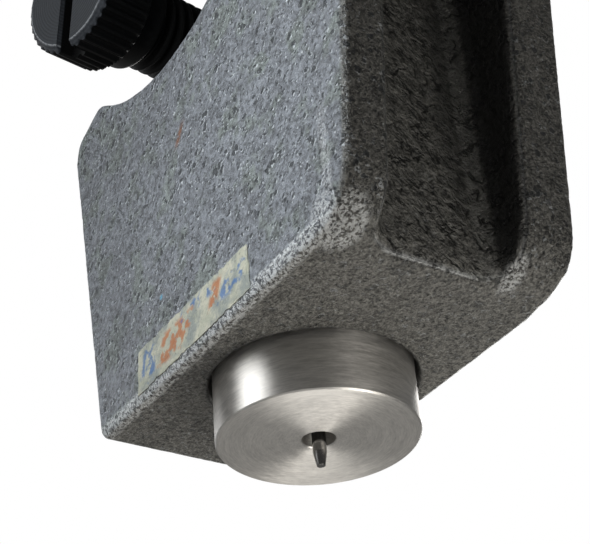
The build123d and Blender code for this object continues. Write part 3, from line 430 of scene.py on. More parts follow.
def cast_surface(voxel):
    """The cast body as an even mesh: rounded where its cast edges are, and pitted where it is painted."""
    source = NODES["cast_body"]
    bm = bmesh.new()
    bm.from_mesh(source.data)
    bmesh.ops.remove_doubles(bm, verts=bm.verts, dist=1e-7)
    bm.normal_update()
    tree = BVHTree.FromBMesh(bm)
    # cast edges: sharp edges of the outside, away from machined seats and bores
    points = []
    for e in bm.edges:
        if len(e.link_faces) != 2 or e.calc_face_angle(0) < CAST_EDGE_ANGLE:
            continue
        a, b = e.verts[0].co, e.verts[1].co
        n = max(2, int((b - a).length / EDGE_STEP))
        for i in range(n + 1):
            points.append(a.lerp(b, i / n))
    cleaned = bpy.data.meshes.new("cast_source")
    bm.to_mesh(cleaned)
    bm.free()
    points = np.array(points)
    points = points[cast_place(points) > 0.5]
    edge_tree = KDTree(len(points))
    for i, q in enumerate(points):
        edge_tree.insert(q, i)
    edge_tree.balance()

    ob = bpy.data.objects.new("enamel_body", cleaned)
    scene.collection.objects.link(ob)
    mod = ob.modifiers.new("remesh", "REMESH")
    mod.mode = "VOXEL"
    mod.voxel_size = voxel
    mod.adaptivity = 0
    deps = bpy.context.evaluated_depsgraph_get()
    mesh = bpy.data.meshes.new_from_object(ob.evaluated_get(deps))
    ob.modifiers.clear()
    ob.data = mesh
    bpy.data.meshes.remove(cleaned)

    n = len(mesh.vertices)
    co = np.zeros(n * 3)
    mesh.vertices.foreach_get("co", co)
    co = co.reshape(-1, 3)
    edges = np.zeros(len(mesh.edges) * 2, np.int64)
    mesh.edges.foreach_get("vertices", edges)
    edges = edges.reshape(-1, 2)
    # back onto the exact surface
    for i in range(n):
        near = tree.find_nearest(Vector(co[i]), 3 * voxel)
        if near[0] is not None:
            co[i] = near[0]
    # cast edges and the channel's way out are rounded, by moving each point towards the mean of its neighbours
    edge_distance = np.array([edge_tree.find(Vector(q))[2] for q in co])
    place = cast_place(co)
    exit_edge = np.clip(1 - np.hypot(co[:, 0] - CHANNEL_FLOOR, co[:, 2] - BODY_BOTTOM) / (3.0 * MM), 0, 1)
    soft = np.clip(1.6 - edge_distance / (1.1 * MM), 0, 1) * place
    soft = np.maximum(soft, np.clip(exit_edge * 2, 0, 1) * place)
    count = np.bincount(edges.ravel(), minlength=n)[:, None]
    for _ in range(ROUNDING_STEPS):
        total = np.zeros_like(co)
        for k in range(3):
            total[:, k] = np.bincount(edges[:, 0], co[edges[:, 1], k], n)
            total[:, k] += np.bincount(edges[:, 1], co[edges[:, 0], k], n)
        co += (total / count - co) * (0.5 * soft)[:, None]
    mesh.vertices.foreach_set("co", co.ravel())
    mesh.update()
    normal = np.zeros(n * 3)
    mesh.vertices.foreach_get("normal", normal)
    normal = normal.reshape(-1, 3)
    depth, channel, fillet_highlight, shade = paint_depth(co, place)
    wear_and_glint, line = wear_mask(co, normal)
    # the flank's tint fades out upwards, so the head has no edge of colour
    low = 1 - ramp01(co[:, 2], 50 * MM, 84 * MM)
    flank = low * ramp01(normal[:, 0], 0.35, 0.75) * (1 - channel)
    under = np.where(co[:, 2] < 8 * MM, ramp01(-normal[:, 2], 0.5, 0.8), 0)
    co -= normal * depth[:, None]
    mesh.vertices.foreach_set("co", co.ravel())
    for name, values in (("wear_and_glint", wear_and_glint), ("line", line), ("channel", channel), ("fillet_highlight", fillet_highlight),
                         ("shade", shade), ("flank", flank), ("under", under), ("machined", 1 - place)):
        layer = mesh.attributes.new(name, "FLOAT", "POINT")
        layer.data.foreach_set("value", values.astype(np.float32))
    mesh.shade_smooth()
    mesh.update()
    return ob


def ramp01(x, lo, hi):
    t = np.clip((x - lo) / (hi - lo), 0, 1)
    return t * t * (3 - 2 * t)


def line_distance(co, point, axis):
    d = co - np.array(point)
    a = np.array(axis)
    return np.linalg.norm(d - np.outer(d @ a, a), axis=1)


def cast_place(co):
    """1 on the cast, painted outside, falling to 0 at machined seats, bores and the inside."""
    x, y, z = co.T
    r_head = np.hypot(x - HEAD.x, z - HEAD.z)
    r_foot = np.hypot(x, y)
    keep = np.ones(len(co))
    # under the bezel, and the inside of the head
    keep *= np.where(y < FRONT + 0.4 * MM, ramp01(r_head, 32.3 * MM, 32.9 * MM), 1)
    inside = (r_head < 30.3 * MM) & ((y > 11.5 * MM) | (r_head < 27.8 * MM)) & (y < 14.5 * MM)
    keep *= np.where(inside, 0, 1)
    # round the foot, the spindle's bores, the push rod's way and the rear window
    keep *= np.where(z < 16.0 * MM, ramp01(r_foot, FOOT_R + 0.4 * MM, FOOT_R + 0.75 * MM), 1)
    core = (r_foot < 6.6 * MM) & (z < 38.5 * MM) & (z > 7 * MM) & (y < 10.2 * MM)
    keep *= np.where(core, 0, 1)
    rod_way = (np.hypot(x, y - 6.0 * MM) < 3.1 * MM) & (z > 30 * MM) & (z < 80 * MM) & (y < 10 * MM)
    keep *= np.where(rod_way, 0, 1)
    window = (np.abs(x) < 11.3 * MM) & (z > 23.7 * MM) & (z < 42.3 * MM) & (y > 3.0 * MM)
    keep *= np.where(window, 0, 1)
    # the stand's bore, the clamp screw's bore and the grub screw's hole
    keep *= ramp01(line_distance(co, BORE_P, (0, 0, 1)), BORE_R + 0.05 * MM, BORE_R + 0.45 * MM)
    beyond = (co - np.array(CLAMP_P)) @ np.array(CLAMP_A)
    off_screw = line_distance(co, CLAMP_P, CLAMP_A)
    keep *= np.where((beyond > 5.0 * MM) & (beyond < 20.0 * MM), ramp01(off_screw, 5.1 * MM, 5.5 * MM), 1)
    grub = (x < -3 * MM) & (z < 16 * MM)
    keep *= np.where(grub, ramp01(np.hypot(y, z - 11.0 * MM), 1.6 * MM, 1.9 * MM), 1)
    return keep


def wear_mask(co, normal):
    """Where the paint is rubbed through, which the enamel draws with painted glints and painted shade, and the thin
    painted highlight on the worn edge at the channel's mouth.
    """
    x, y, z = (co / MM).T
    front = -FRONT / MM
    bottom = BODY_BOTTOM / MM
    edge = 1.0 - ramp01(np.hypot(y + front - 0.1, z - bottom - 0.4), 0.6, 1.25)
    wear_and_glint = 0.95 * edge * (0.55 + 0.45 * ramp01(x, -19, -4))
    # the lower part of the front's right-hand edge, and the near corner
    upright = 1.0 - ramp01(np.hypot(x - 21.7, y + front - 0.2), 0.3, 1.1)
    wear_and_glint = np.maximum(wear_and_glint, 0.32 * upright * (1 - ramp01(z, 12, 22)))
    corner = np.hypot(np.hypot((y + 10.6) * 0.75, (z - 7.0) * 0.48), (x - 20.6) * 0.52)
    wear_and_glint = np.maximum(wear_and_glint, 1.0 - ramp01(corner, 0.8, 1.9))
    # the thin painted highlight along the worn, rounded edge where the channel's floor meets the bottom
    turn = np.minimum(np.maximum(normal[:, 0], 0), np.maximum(-normal[:, 2], 0))
    floor_x = CHANNEL_FLOOR / MM
    mouth = (y > -7.9) & (y < 5.6) & (x > floor_x - 1.0) & (x < floor_x + 2.6) & (z < bottom + 2.5)
    line = np.where(mouth, ramp01(turn, 0.60, 0.69), 0)
    # the far corner of the channel's mouth
    far = np.hypot(np.hypot((y - 5.9) * 0.9, (z - bottom) * 0.45), (x - 21.8) * 0.33)
    wear_and_glint = np.maximum(wear_and_glint, 0.95 * (1.0 - ramp01(far, 0.35, 1.25)))
    return np.clip(wear_and_glint, 0, 1), line


def paint_depth(co, place):
    """How deep the wrinkled enamel lies below the exact surface, in metres, and the channel's three masks: the channel
    itself, a painted highlight band on its far fillet, and its painted shade.
    """
    p = co / MM
    depth = np.zeros(len(p))
    for i in np.nonzero(place > 0.01)[0]:
        q = Vector(p[i])
        broad = noise.noise(q * 0.30)
        mid = noise.noise(q * 0.95 + Vector((7, 3, 1)))
        fine = noise.noise(q * 1.9 + Vector((1, 9, 4)))
        pit = max(0.0, fine - 0.12)
        depth[i] = 0.030 + 0.020 * broad + 0.022 * mid + 0.075 * pit
    below = ramp01(p[:, 2], 5.7, 6.4) * (1 - ramp01(p[:, 2], 71, 73))
    channel = ramp01(p[:, 0], 18.5, 19.3) * ramp01(p[:, 1], -8.4, -7.9) * (1 - ramp01(p[:, 1], 5.4, 5.9)) * below
    # the far fillet: a painted highlight band low on it, and painted shade on the wall above it and in the gap before
    # it
    climb = np.degrees(np.arctan2(p[:, 1] - 2.8, 22.3 - p[:, 0]))
    beyond = p[:, 1] > 2.8
    fillet_highlight = np.where(beyond, ramp01(climb, 9, 17) * (1 - ramp01(climb, 42, 54)), 0) * channel
    gap = ramp01(p[:, 1], 1.0, 2.3) * np.where(beyond, 1 - ramp01(climb, 9, 17), 1)
    wall = np.where(beyond, ramp01(climb, 46, 58), 0) * (1 - ramp01(p[:, 1], 5.25, 5.5))
    shade = np.maximum(0.5 * gap * ramp01(p[:, 2], 7, 12), wall) * channel
    # two small pits near the channel's mouth
    for y, z, r in ((-3.1, 6.9, 0.5), (-4.8, 6.6, 0.45)):
        hole = 1 - ramp01(np.hypot(p[:, 1] - y, (p[:, 2] - z) * 0.7), 0.15, r)
        depth += 0.14 * hole * channel
    depth = np.clip(depth, 0, 0.17) * place
    return depth * MM, channel, fillet_highlight, shade


# ---------------------------------------------------------------- materials
# the clamp screw's head in mm, with places along the screw from its joint
SCREW_FACE = -16.7
HEAD_END = -10.1
FACE_R = 6.42
HEAD_R = 7.25
FACE_RING_PITCH = 0.36      # between two turned rings on its face


def enamel_material():
    """Thick grey enamel: fine grain, scattered pits with painted shade in them and painted glints beside them, painted
    light and shade over the relief, green-grey and blue-grey patches, and rubbed edges with painted glints and painted
    shade.
    """
    k = Mat("grey_enamel")
    wear_and_glint = k.attr("wear_and_glint")
    line = k.attr("line")
    channel = k.attr("channel")
    fillet_highlight = k.attr("fillet_highlight")
    dim = k.attr("shade")
    machined = k.attr("machined")
    x, y, z = k.xyz()
    shift = k.combine(k.noise(1500, 2), k.noise(1540, 2), k.noise(1470, 2))
    warp = k.vec("ADD", k.pos, k.vec("SCALE", shift, 0.0005))
    grain = k.noise(4400, 3, 0.65)
    lumps = k.noise(1700, 2, 0.5, vector=warp)
    under = k.attr("under")
    flank = k.attr("flank")
    creased = k.max(channel, k.max(under, flank))
    covered = k.max(k.mul(channel, 0.8), k.mul(under, 0.5))
    plain = k.sub(1.0, covered)
    size_noise = k.noise(520, 2)
    small_noise = k.noise(900, 2)
    stir = k.vec("SCALE", k.combine(k.noise(2400, 2), k.noise(2500, 2), k.noise(2300, 2)), 0.0007)

    def pit_field(offset):
        """Share of pit at a place: of uneven outline, in most of the cells of a millimetre."""
        at = k.vec("ADD", k.vec("ADD", k.pos, stir), offset)
        large = k.sub(k.ramp(size_noise, 0.37, 0.60, 0.05, 0.33), k.voronoi(980, vector=at))
        large = k.ramp(large, -0.03, 0.06, 0.0, 1.0, smooth=True)
        small_at = k.vec("ADD", at, (0.37, 0.11, 0.23))
        small = k.sub(k.ramp(small_noise, 0.35, 0.58, 0.06, 0.34), k.voronoi(1900, vector=small_at))
        small = k.ramp(small, -0.04, 0.08, 0.0, 1.0, smooth=True)
        return k.max(large, k.mul(small, 0.8))

    pits = pit_field((0, 0, 0))
    # painted highlight: bright glints beside the pits, on the rims that face the light
    painted_glint = k.mul(pit_field((-0.00010, 0, 0.00013)), k.sub(1.0, pits))
    painted_glint = k.mul(k.mul(painted_glint, k.ramp(k.noise(1300, 2), 0.43, 0.52)), plain)
    height = k.add(k.mul(grain, 0.6), k.mul(lumps, 0.55))
    height = k.sub(height, k.mul(k.mul(pits, plain), 0.55))
    # the underside, the flank and the channel are drawn into wrinkles with winding cracks
    slant = k.combine(k.mul(k.add(y, z), 0.707), k.mul(k.sub(y, z), 0.42), x)
    wrinkle = k.mix(channel, k.noise(2300, 4, 0.65), k.noise(1500, 4, 0.65, vector=slant))

    def winding(scale, vector, low, high):
        """Thin winding lines, where a noise passes through its middle value."""
        off = k.math("ABSOLUTE", k.sub(k.noise(scale, 3, 0.55, vector=vector, distort=0.35), 0.5))
        return k.ramp(off, low, high, 1.0, 0.0)

    crack = k.mul(winding(760, slant, 0.010, 0.050), channel)
    flank_crack = k.mul(winding(1300, k.pos, 0.008, 0.040), k.mul(flank, 0.8))
    crack = k.max(crack, flank_crack)
    crack = k.mul(crack, k.ramp(k.noise(560, 2), 0.46, 0.58))
    height = k.add(height, k.mul(k.mul(wrinkle, creased), 2.4))
    height = k.sub(height, k.mul(crack, 0.9))
    # rubbed places are crumpled more deeply
    crumple = k.noise(2900, 4, 0.68, vector=warp)
    height = k.add(height, k.mul(k.mul(crumple, wear_and_glint), 2.2))
    patch = k.ramp(k.noise(260, 3, 0.6), 0.50, 0.62, 0.0, 1.0, smooth=True)
    colour = k.mix(patch, (0.163, 0.173, 0.190), (0.152, 0.170, 0.163))
    colour = k.mix(creased, colour, (0.176, 0.172, 0.158))
    broad = k.ramp(k.noise(90, 2), 0.35, 0.65, 0.93, 1.07)
    # painted light and shade: the colour is darkened in the hollows of the relief and lifted on its high spots, more
    # strongly where the enamel is wrinkled
    mottle = k.mix(creased, lumps, wrinkle)
    relief_shading = k.add(k.mul(grain, 0.5), k.mul(mottle, 0.5))
    spread = k.math("MULTIPLY_ADD", k.ramp(relief_shading, 0.37, 0.63, -1.0, 1.0),
                    k.math("MULTIPLY_ADD", creased, 0.30, 0.62), 1.0)
    colour = k.vec("SCALE", colour, k.mul(broad, spread))
    # painted shade: the pits are coloured near-black, as the shade that falls inside them
    colour = k.mix(k.mul(pits, k.mul(plain, 0.88)), colour, (0.026, 0.030, 0.034))
    colour = k.mix(k.mul(painted_glint, 0.75), colour, (0.66, 0.69, 0.72))
    # painted highlight on the channel's far fillet, then painted shade on its far wall and in the gap before the
    # fillet
    colour = k.mix(k.mul(fillet_highlight, 0.45), colour, (0.30, 0.30, 0.28))
    colour = k.mix(k.mul(dim, 0.88), colour, (0.018, 0.018, 0.016))
    colour = k.mix(k.mul(crack, 0.85), colour, (0.010, 0.010, 0.009))
    # a rust streak and a blue speck on the front face
    speckle = k.noise(3600, 3)
    front = k.ramp(y, -0.0119, -0.0121)
    across = k.sub(x, k.math("MULTIPLY_ADD", k.sub(z, 0.0297), 0.55, -0.00085))
    streak = k.mul(k.ramp(k.math("ABSOLUTE", across), 0.00016, 0.00060, 1.0, 0.0),
                   k.ramp(k.math("ABSOLUTE", k.sub(z, 0.0298)), 0.0005, 0.0014, 1.0, 0.0))
    streak = k.mul(k.mul(streak, front), k.ramp(speckle, 0.30, 0.44))
    colour = k.mix(k.mul(streak, 0.9), colour, (0.19, 0.075, 0.028))
    to_speck = k.vec("DISTANCE", k.pos, (-0.00503, -0.0124, 0.01417))
    speck = k.ramp(to_speck, 0.00014, 0.00034, 1.0, 0.0)
    colour = k.mix(k.mul(speck, 0.9), colour, (0.13, 0.42, 0.60))
    # rubbed metal shows on the high spots near the worn edges, painted bright as glints, with painted shade in the
    # hollows between them; the channel's worn edge gets its painted highlight
    rubbed = k.ramp(wear_and_glint, 0.1, 0.7)
    bare_metal_glint = k.mul(rubbed, k.ramp(crumple, 0.45, 0.53), clamp=True)
    crumple_shade = k.mul(rubbed, k.ramp(crumple, 0.43, 0.37), clamp=True)
    broken = k.ramp(k.noise(1500, 3), 0.40, 0.50)
    bare_metal_glint = k.max(bare_metal_glint, k.mul(line, broken), clamp=True)
    colour = k.mix(k.mul(crumple_shade, 0.5), colour, (0.060, 0.062, 0.062))
    colour = k.mix(k.mul(bare_metal_glint, 0.9), colour, (0.84, 0.85, 0.85))
    colour = k.mix(machined, colour, (0.24, 0.24, 0.235))
    rough = k.ramp(k.noise(1900, 2), 0.35, 0.65, 0.28, 0.42)
    k.set(
        Base_Color=colour,
        Metallic=k.mul(machined, 0.7),
        Roughness=k.sub(rough, k.mul(bare_metal_glint, 0.06)),
        Specular_IOR_Level=0.5,
        Normal=k.bump(height, 0.00026),
    )
    return k.m


def tape_material():
    """Old cream tape, part rubbed away to the paint, with smears of orange and blue ink."""
    k = Mat("tape_cream")
    x, _, z = k.xyz()
    blotch = k.noise(900, 3, 0.6)
    fine = k.noise(3600, 3)
    colour = k.mix(k.ramp(blotch, 0.35, 0.65), (0.40, 0.405, 0.32), (0.52, 0.50, 0.40))
    worn = k.ramp(k.noise(430, 4, 0.65), 0.46, 0.60)
    colour = k.mix(k.mul(worn, 0.85), colour, (0.22, 0.245, 0.235))

    def smear(left, right, low, high, lean, scale, cut):
        """Share of ink in one leaning patch, broken up by noise."""
        u = k.sub(x, k.mul(k.sub(z, 0.0085), lean))
        inside = k.mul(k.ramp(u, left - 0.0002, left + 0.0003),
                       k.ramp(u, right + 0.0002, right - 0.0003))
        inside = k.mul(inside, k.ramp(z, low - 0.0002, low + 0.0003))
        inside = k.mul(inside, k.ramp(z, high + 0.0002, high - 0.0003))
        return k.mul(inside, k.ramp(k.noise(scale, 3, 0.6), cut, cut + 0.08))

    orange = k.max(smear(-0.0055, 0.0002, 0.0070, 0.0100, 0.5, 900, 0.47),
                   smear(0.0034, 0.0050, 0.0077, 0.0102, 0.4, 1100, 0.42))
    blue = k.max(smear(-0.0089, -0.0060, 0.0066, 0.0102, 0.3, 800, 0.50),
                 smear(0.0052, 0.0092, 0.0076, 0.0098, 0.9, 760, 0.49))
    blue = k.max(blue, smear(-0.0025, 0.0040, 0.0092, 0.0106, 0.6, 1000, 0.55))
    colour = k.mix(k.mul(orange, 0.85), colour, (0.40, 0.13, 0.035))
    colour = k.mix(k.mul(blue, 0.8), colour, (0.035, 0.13, 0.33))
    colour = k.mix(k.ramp(fine, 0.42, 0.34, 0.0, 0.4), colour, (0.10, 0.10, 0.09))
    k.set(Base_Color=colour, Metallic=0.0, Roughness=k.ramp(blotch, 0.3, 0.7, 0.38, 0.6), Specular_IOR_Level=0.45,
          Normal=k.bump(k.add(blotch, k.mul(fine, 0.6)), 0.00005))
    return k.m


def black_material():
    """Blackened steel: a head face turned in fine rings, with a thin bright line round the edge of the face, and
    near-black sides.
    """
    k = Mat("black_steel")
    side, up = axis_frame(CLAMP_A)
    d = k.vec("SUBTRACT", k.pos, tuple(CLAMP_P))
    u = k.vec("DOT_PRODUCT", d, tuple(CLAMP_A))
    x = k.vec("DOT_PRODUCT", d, tuple(side))
    y = k.vec("DOT_PRODUCT", d, tuple(up))
    r = k.math("SQRT", k.add(k.mul(x, x), k.mul(y, y)))
    face = k.ramp(u, (SCREW_FACE + 0.04) * MM, (SCREW_FACE + 0.12) * MM, 1.0, 0.0)
    bevelled = k.ramp(u, (SCREW_FACE + 0.55) * MM, (SCREW_FACE + 0.70) * MM, 1.0, 0.0)
    wander = k.mul(k.noise(260, 2), 0.00012)
    rings = k.math("SINE", k.mul(k.add(r, wander), 2 * math.pi / (FACE_RING_PITCH * MM)))
    fine = k.noise(3800, 3)
    rim = k.ramp(k.math("ABSOLUTE", k.sub(r, FACE_R * MM)), 0.00003, 0.00016, 1.0, 0.0)
    rim = k.mul(k.mul(rim, bevelled), k.ramp(fine, 0.40, 0.52, 0.45, 1.0))
    colour = k.mix(bevelled, (0.007, 0.007, 0.007), (0.060, 0.064, 0.072))
    colour = k.mix(face, colour, (0.021, 0.024, 0.029))
    lit = k.math("MULTIPLY_ADD", rings, 0.16, k.ramp(fine, 0.35, 0.65, 0.82, 1.18))
    colour = k.vec("SCALE", colour, lit)
    colour = k.mix(k.mul(rim, 0.75), colour, (0.42, 0.43, 0.45))
    ring_height = k.math("MULTIPLY_ADD", k.mul(rings, face), 0.25, k.mul(fine, 0.4))
    k.set(Base_Color=colour, Metallic=0.0, Roughness=k.ramp(fine, 0.3, 0.7, 0.36, 0.52), Specular_IOR_Level=0.11,
          Normal=k.bump(ring_height, 0.00003))
    return k.m


MATS = {
    "grey_enamel": enamel_material(),
    "bright_steel": metal("bright_steel", (0.55, 0.55, 0.56), 0.3),
    "foot_steel": turned_metal("foot_steel", (0.78, 0.755, 0.715), 0.42, (0, 0, 0), (0, 0, 1), 6500, 0.0000046,
                               dark=0.70, aniso=0.82, arcs=7.0),
    "indenter_steel": turned_metal("indenter_steel", (0.20, 0.195, 0.19), 0.20, (0, 0, 0), (0, 0, 1), 9000,
                                   0.0000008),
    "spring_steel": metal("spring_steel", (0.3, 0.31, 0.36), 0.3),
    "black_steel": black_material(),
    "brass": metal("brass", (0.65, 0.46, 0.18), 0.3),
    "dial_white": metal("dial_white", (0.8, 0.8, 0.77), 0.5, metallic=0.0, dark=0.97),
    "pointer_black": metal("pointer_black", (0.012, 0.012, 0.012), 0.5, metallic=0.0),
    "bezel_metal": turned_metal("bezel_metal", (0.60, 0.60, 0.61), 0.24, HEAD, (0, 1, 0), 6000, 0.000002,
                                aniso=0.5),
    "gasket_black": metal("gasket_black", (0.02, 0.02, 0.02), 0.7, metallic=0.0),
    "tape_cream": tape_material(),
}
clear = Mat("crystal_clear")
clear.set(Base_Color=(0.93, 0.95, 0.95), Roughness=0.04, Alpha=0.13, Specular_IOR_Level=0.6)
MATS["crystal_clear"] = clear.m

for sub in RECORD["subparts"]:
    ob = NODES[sub["node"]]
    mat = MATS[sub["material_slot"]]
    if not ob.data.materials:
        ob.data.materials.append(mat)
    for k in range(len(ob.material_slots)):
        ob.material_slots[k].material = mat


# ---------------------------------------------------------------- pieces
def place(piece, body, node, slot, edge_angle=None):
    """Everything that a piece needs said about it."""
    if edge_angle:
        sharp_by_angle(piece, edge_angle)
    piece.data.materials.clear()
    piece.data.materials.append(MATS[slot])
    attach(piece, body)
    if node:
        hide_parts(node)


place(cast_surface(VOXEL), "housing", "cast_body", "grey_enamel")

# presser foot: a disc with a hole for the pin, and a spigot that holds the lower bush, in mm
foot_r = 9.0
foot_top = 8.0
foot_chamfer = 0.14
hole_r = 1.5
hole_chamfer = 0.10
spindle_room_r = 2.3
spindle_room_bottom = 4.0
spigot_r = 5.0
spigot_top = 14.0
bush_r = 3.5
bush_bottom = 9.0
foot_profile = rounded([(hole_r, spindle_room_bottom), (hole_r, hole_chamfer), (hole_r + hole_chamfer, 0.0),
                        (foot_r - foot_chamfer, 0.0), (foot_r, foot_chamfer), (foot_r, foot_top),
                        (spigot_r, foot_top), (spigot_r, spigot_top), (bush_r, spigot_top), (bush_r, bush_bottom),
                        (spindle_room_r, bush_bottom), (spindle_room_r, spindle_room_bottom)],
                       [0, 0, 0.03, 0.03, 0.06, 0.06, 0.1, 0, 0, 0, 0, 0], 3)
foot = lathe("turned_foot", [(r * MM, z * MM) for r, z in foot_profile], (0, 0, 0), (0, 0, 1), MATS["foot_steel"], 288)
place(foot, "housing", "presser_foot", "foot_steel", 20)

# indenter: a slim cone with a small flat
pin_lo, pin_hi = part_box("indenter")
pin_r = 0.618
flat_r = 0.375
cone_length = 1.32
pin_profile = rounded([(0, pin_lo.z / MM), (flat_r, pin_lo.z / MM), (pin_r, pin_lo.z / MM + cone_length),
                       (pin_r, pin_hi.z / MM), (0, pin_hi.z / MM)], [0, 0.05, 0.35, 0, 0], 5)
pin = lathe("polished_pin", [(r * MM, z * MM) for r, z in pin_profile], (0, 0, 0), (0, 0, 1),
            MATS["indenter_steel"], 96, closed=False)
place(pin, "spindle_set", "indenter", "indenter_steel", 25)

# clamp screw: knurled and slotted head, collar, and a real thread
COLLAR_R = 5.75
COLLAR_END = -6.7
COLLAR_OVERLAP = 0.3        # of the collar into the head
THREAD_R = 4.96
THREAD_DEPTH = 0.80
THREAD_PITCH = 1.5
THREAD_OVERLAP = 0.4        # of the thread into the collar
KNURLS = 40
KNURL_DEPTH = 0.46
SLOT_ANGLE = 106.0
SLOT_SIZE = (20, 2.2, 3.4)  # the cutter's length, width and height
SLOT_CENTRE = 0.7           # its middle, behind the screw's face
screw_end = max((Vector(q.co) - CLAMP_P).dot(CLAMP_A) for q in NODES["clamp_screw"].data.vertices) / MM
bevel = 0.55
head_profile = [(0, SCREW_FACE), (FACE_R, SCREW_FACE)]
head_profile += [(FACE_R + (HEAD_R - FACE_R) * s / 8, SCREW_FACE + bevel * s / 8) for s in range(1, 9)]
head_profile += [(HEAD_R, HEAD_END - 0.35), (HEAD_R - 0.2, HEAD_END - 0.15), (HEAD_R - 0.55, HEAD_END),
                 (0, HEAD_END)]
knurled = lathe("knurled_head", [(r * MM, u * MM) for r, u in head_profile], CLAMP_P, CLAMP_A, MATS["black_steel"],
                closed=False, teeth=(KNURLS, HEAD_R * MM, KNURL_DEPTH * MM, (SCREW_FACE - 1) * MM,
                                     (HEAD_END - 0.01) * MM))
side, up = axis_frame(CLAMP_A)
slot_turn = math.radians(SLOT_ANGLE)
slot_along = side * math.cos(slot_turn) + up * math.sin(slot_turn)
slot_across = CLAMP_A.cross(slot_along)
cutter = block("slot_cutter", CLAMP_P + CLAMP_A * (SCREW_FACE + SLOT_CENTRE) * MM, slot_along, slot_across, CLAMP_A,
               [size * MM for size in SLOT_SIZE])
cut_away(knurled, cutter)
collar_start = HEAD_END - COLLAR_OVERLAP
collar_profile = rounded([(0, collar_start), (COLLAR_R, collar_start), (COLLAR_R, COLLAR_END), (0, COLLAR_END)],
                         [0, 0, 0.55, 0], 6)
collar = lathe("collar", [(r * MM, u * MM) for r, u in collar_profile], CLAMP_P, CLAMP_A, MATS["black_steel"], 160,
               closed=False)


def thread(name, start, end, crest, depth, pitch, columns=72):
    """A solid with a right-hand V thread, whose rows follow the helix and stop at flat ends."""
    shape = [(0.0, 0.0), (0.06, 0.0), (0.25, 0.5), (0.44, 1.0), (0.56, 1.0), (0.75, 0.5), (0.94, 0.0)]
    per = len(shape)
    turns = int(math.ceil((end - start) / pitch)) + 2
    verts, faces, index = [], [], {}
    for j in range(columns):
        t = 2 * math.pi * j / columns
        ray = side * math.cos(t) + up * math.sin(t)
        for i in range(turns * per):
            share, deep = shape[i % per]
            along = start - pitch + pitch * (i // per + share + j / columns)
            r = crest - depth * deep
            ends = min(along - start, end - along)
            r -= max(0.0, 0.6 - max(ends, 0.0))
            index[i, j] = len(verts)
            verts.append(CLAMP_P + (CLAMP_A * min(max(along, start), end) + ray * r) * MM)
    rows = turns * per
    for j in range(columns):
        e, shift = (j + 1, 0) if j + 1 < columns else (0, per)
        for i in range(rows - 1):
            if i + 1 + shift < rows:
                faces.append((index[i, j], index[i + 1, j], index[i + 1 + shift, e], index[i + shift, e]))
    ob = make_object(name, verts, faces, MATS["black_steel"])
    bm = bmesh.new()
    bm.from_mesh(ob.data)
    bmesh.ops.remove_doubles(bm, verts=bm.verts, dist=1e-6)
    loose = [v for v in bm.verts if not v.link_faces]
    bmesh.ops.delete(bm, geom=loose, context="VERTS")
    bmesh.ops.holes_fill(bm, edges=bm.edges, sides=0)
    bmesh.ops.recalc_face_normals(bm, faces=bm.faces)
    bm.to_mesh(ob.data)
    bm.free()
    return ob


threaded = thread("threaded_shank", COLLAR_END - THREAD_OVERLAP, screw_end, THREAD_R, THREAD_DEPTH, THREAD_PITCH)
screw = join("knurled_clamp_screw", [knurled, collar, threaded])
place(screw, "clamp_knob", "clamp_screw", "black_steel", 24)

SPRING_WIRE = 0.45 * MM     # the radius of the wire's round section
SPRING_TURNS = 4.5


def coil(name, turns, per_turn=48, around=14):
    """A round-wire spring, right-handed, inside the CAD spring's box."""
    lo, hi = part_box("measuring_spring")
    wire = SPRING_WIRE
    radius = (hi.x - lo.x) / 2 - wire
    steps = int(turns * per_turn)
    verts, faces = [], []
    for i in range(steps + 1):
        t = 2 * math.pi * i / per_turn
        out = Vector((math.cos(t), math.sin(t), 0))
        centre = out * radius + Vector((0, 0, lo.z + wire + (hi.z - lo.z - 2 * wire) * i / steps))
        for j in range(around):
            a = 2 * math.pi * j / around
            verts.append(centre + (out * math.cos(a) + Vector((0, 0, math.sin(a)))) * wire)
    for i in range(steps):
        for j in range(around):
            e = (j + 1) % around
            faces.append((i * around + j, i * around + e, (i + 1) * around + e, (i + 1) * around + j))
    faces.append(tuple(range(around - 1, -1, -1)))
    faces.append(tuple(steps * around + j for j in range(around)))
    ob = make_object(name, verts, faces, MATS["spring_steel"])
    fix_normals(ob)
    return ob


# measuring spring, drawn at one length, though the real one shortens as the spindle rises
spring = coil("coil_spring", SPRING_TURNS)
place(spring, "housing", "measuring_spring", "spring_steel", 40)
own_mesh(spring)


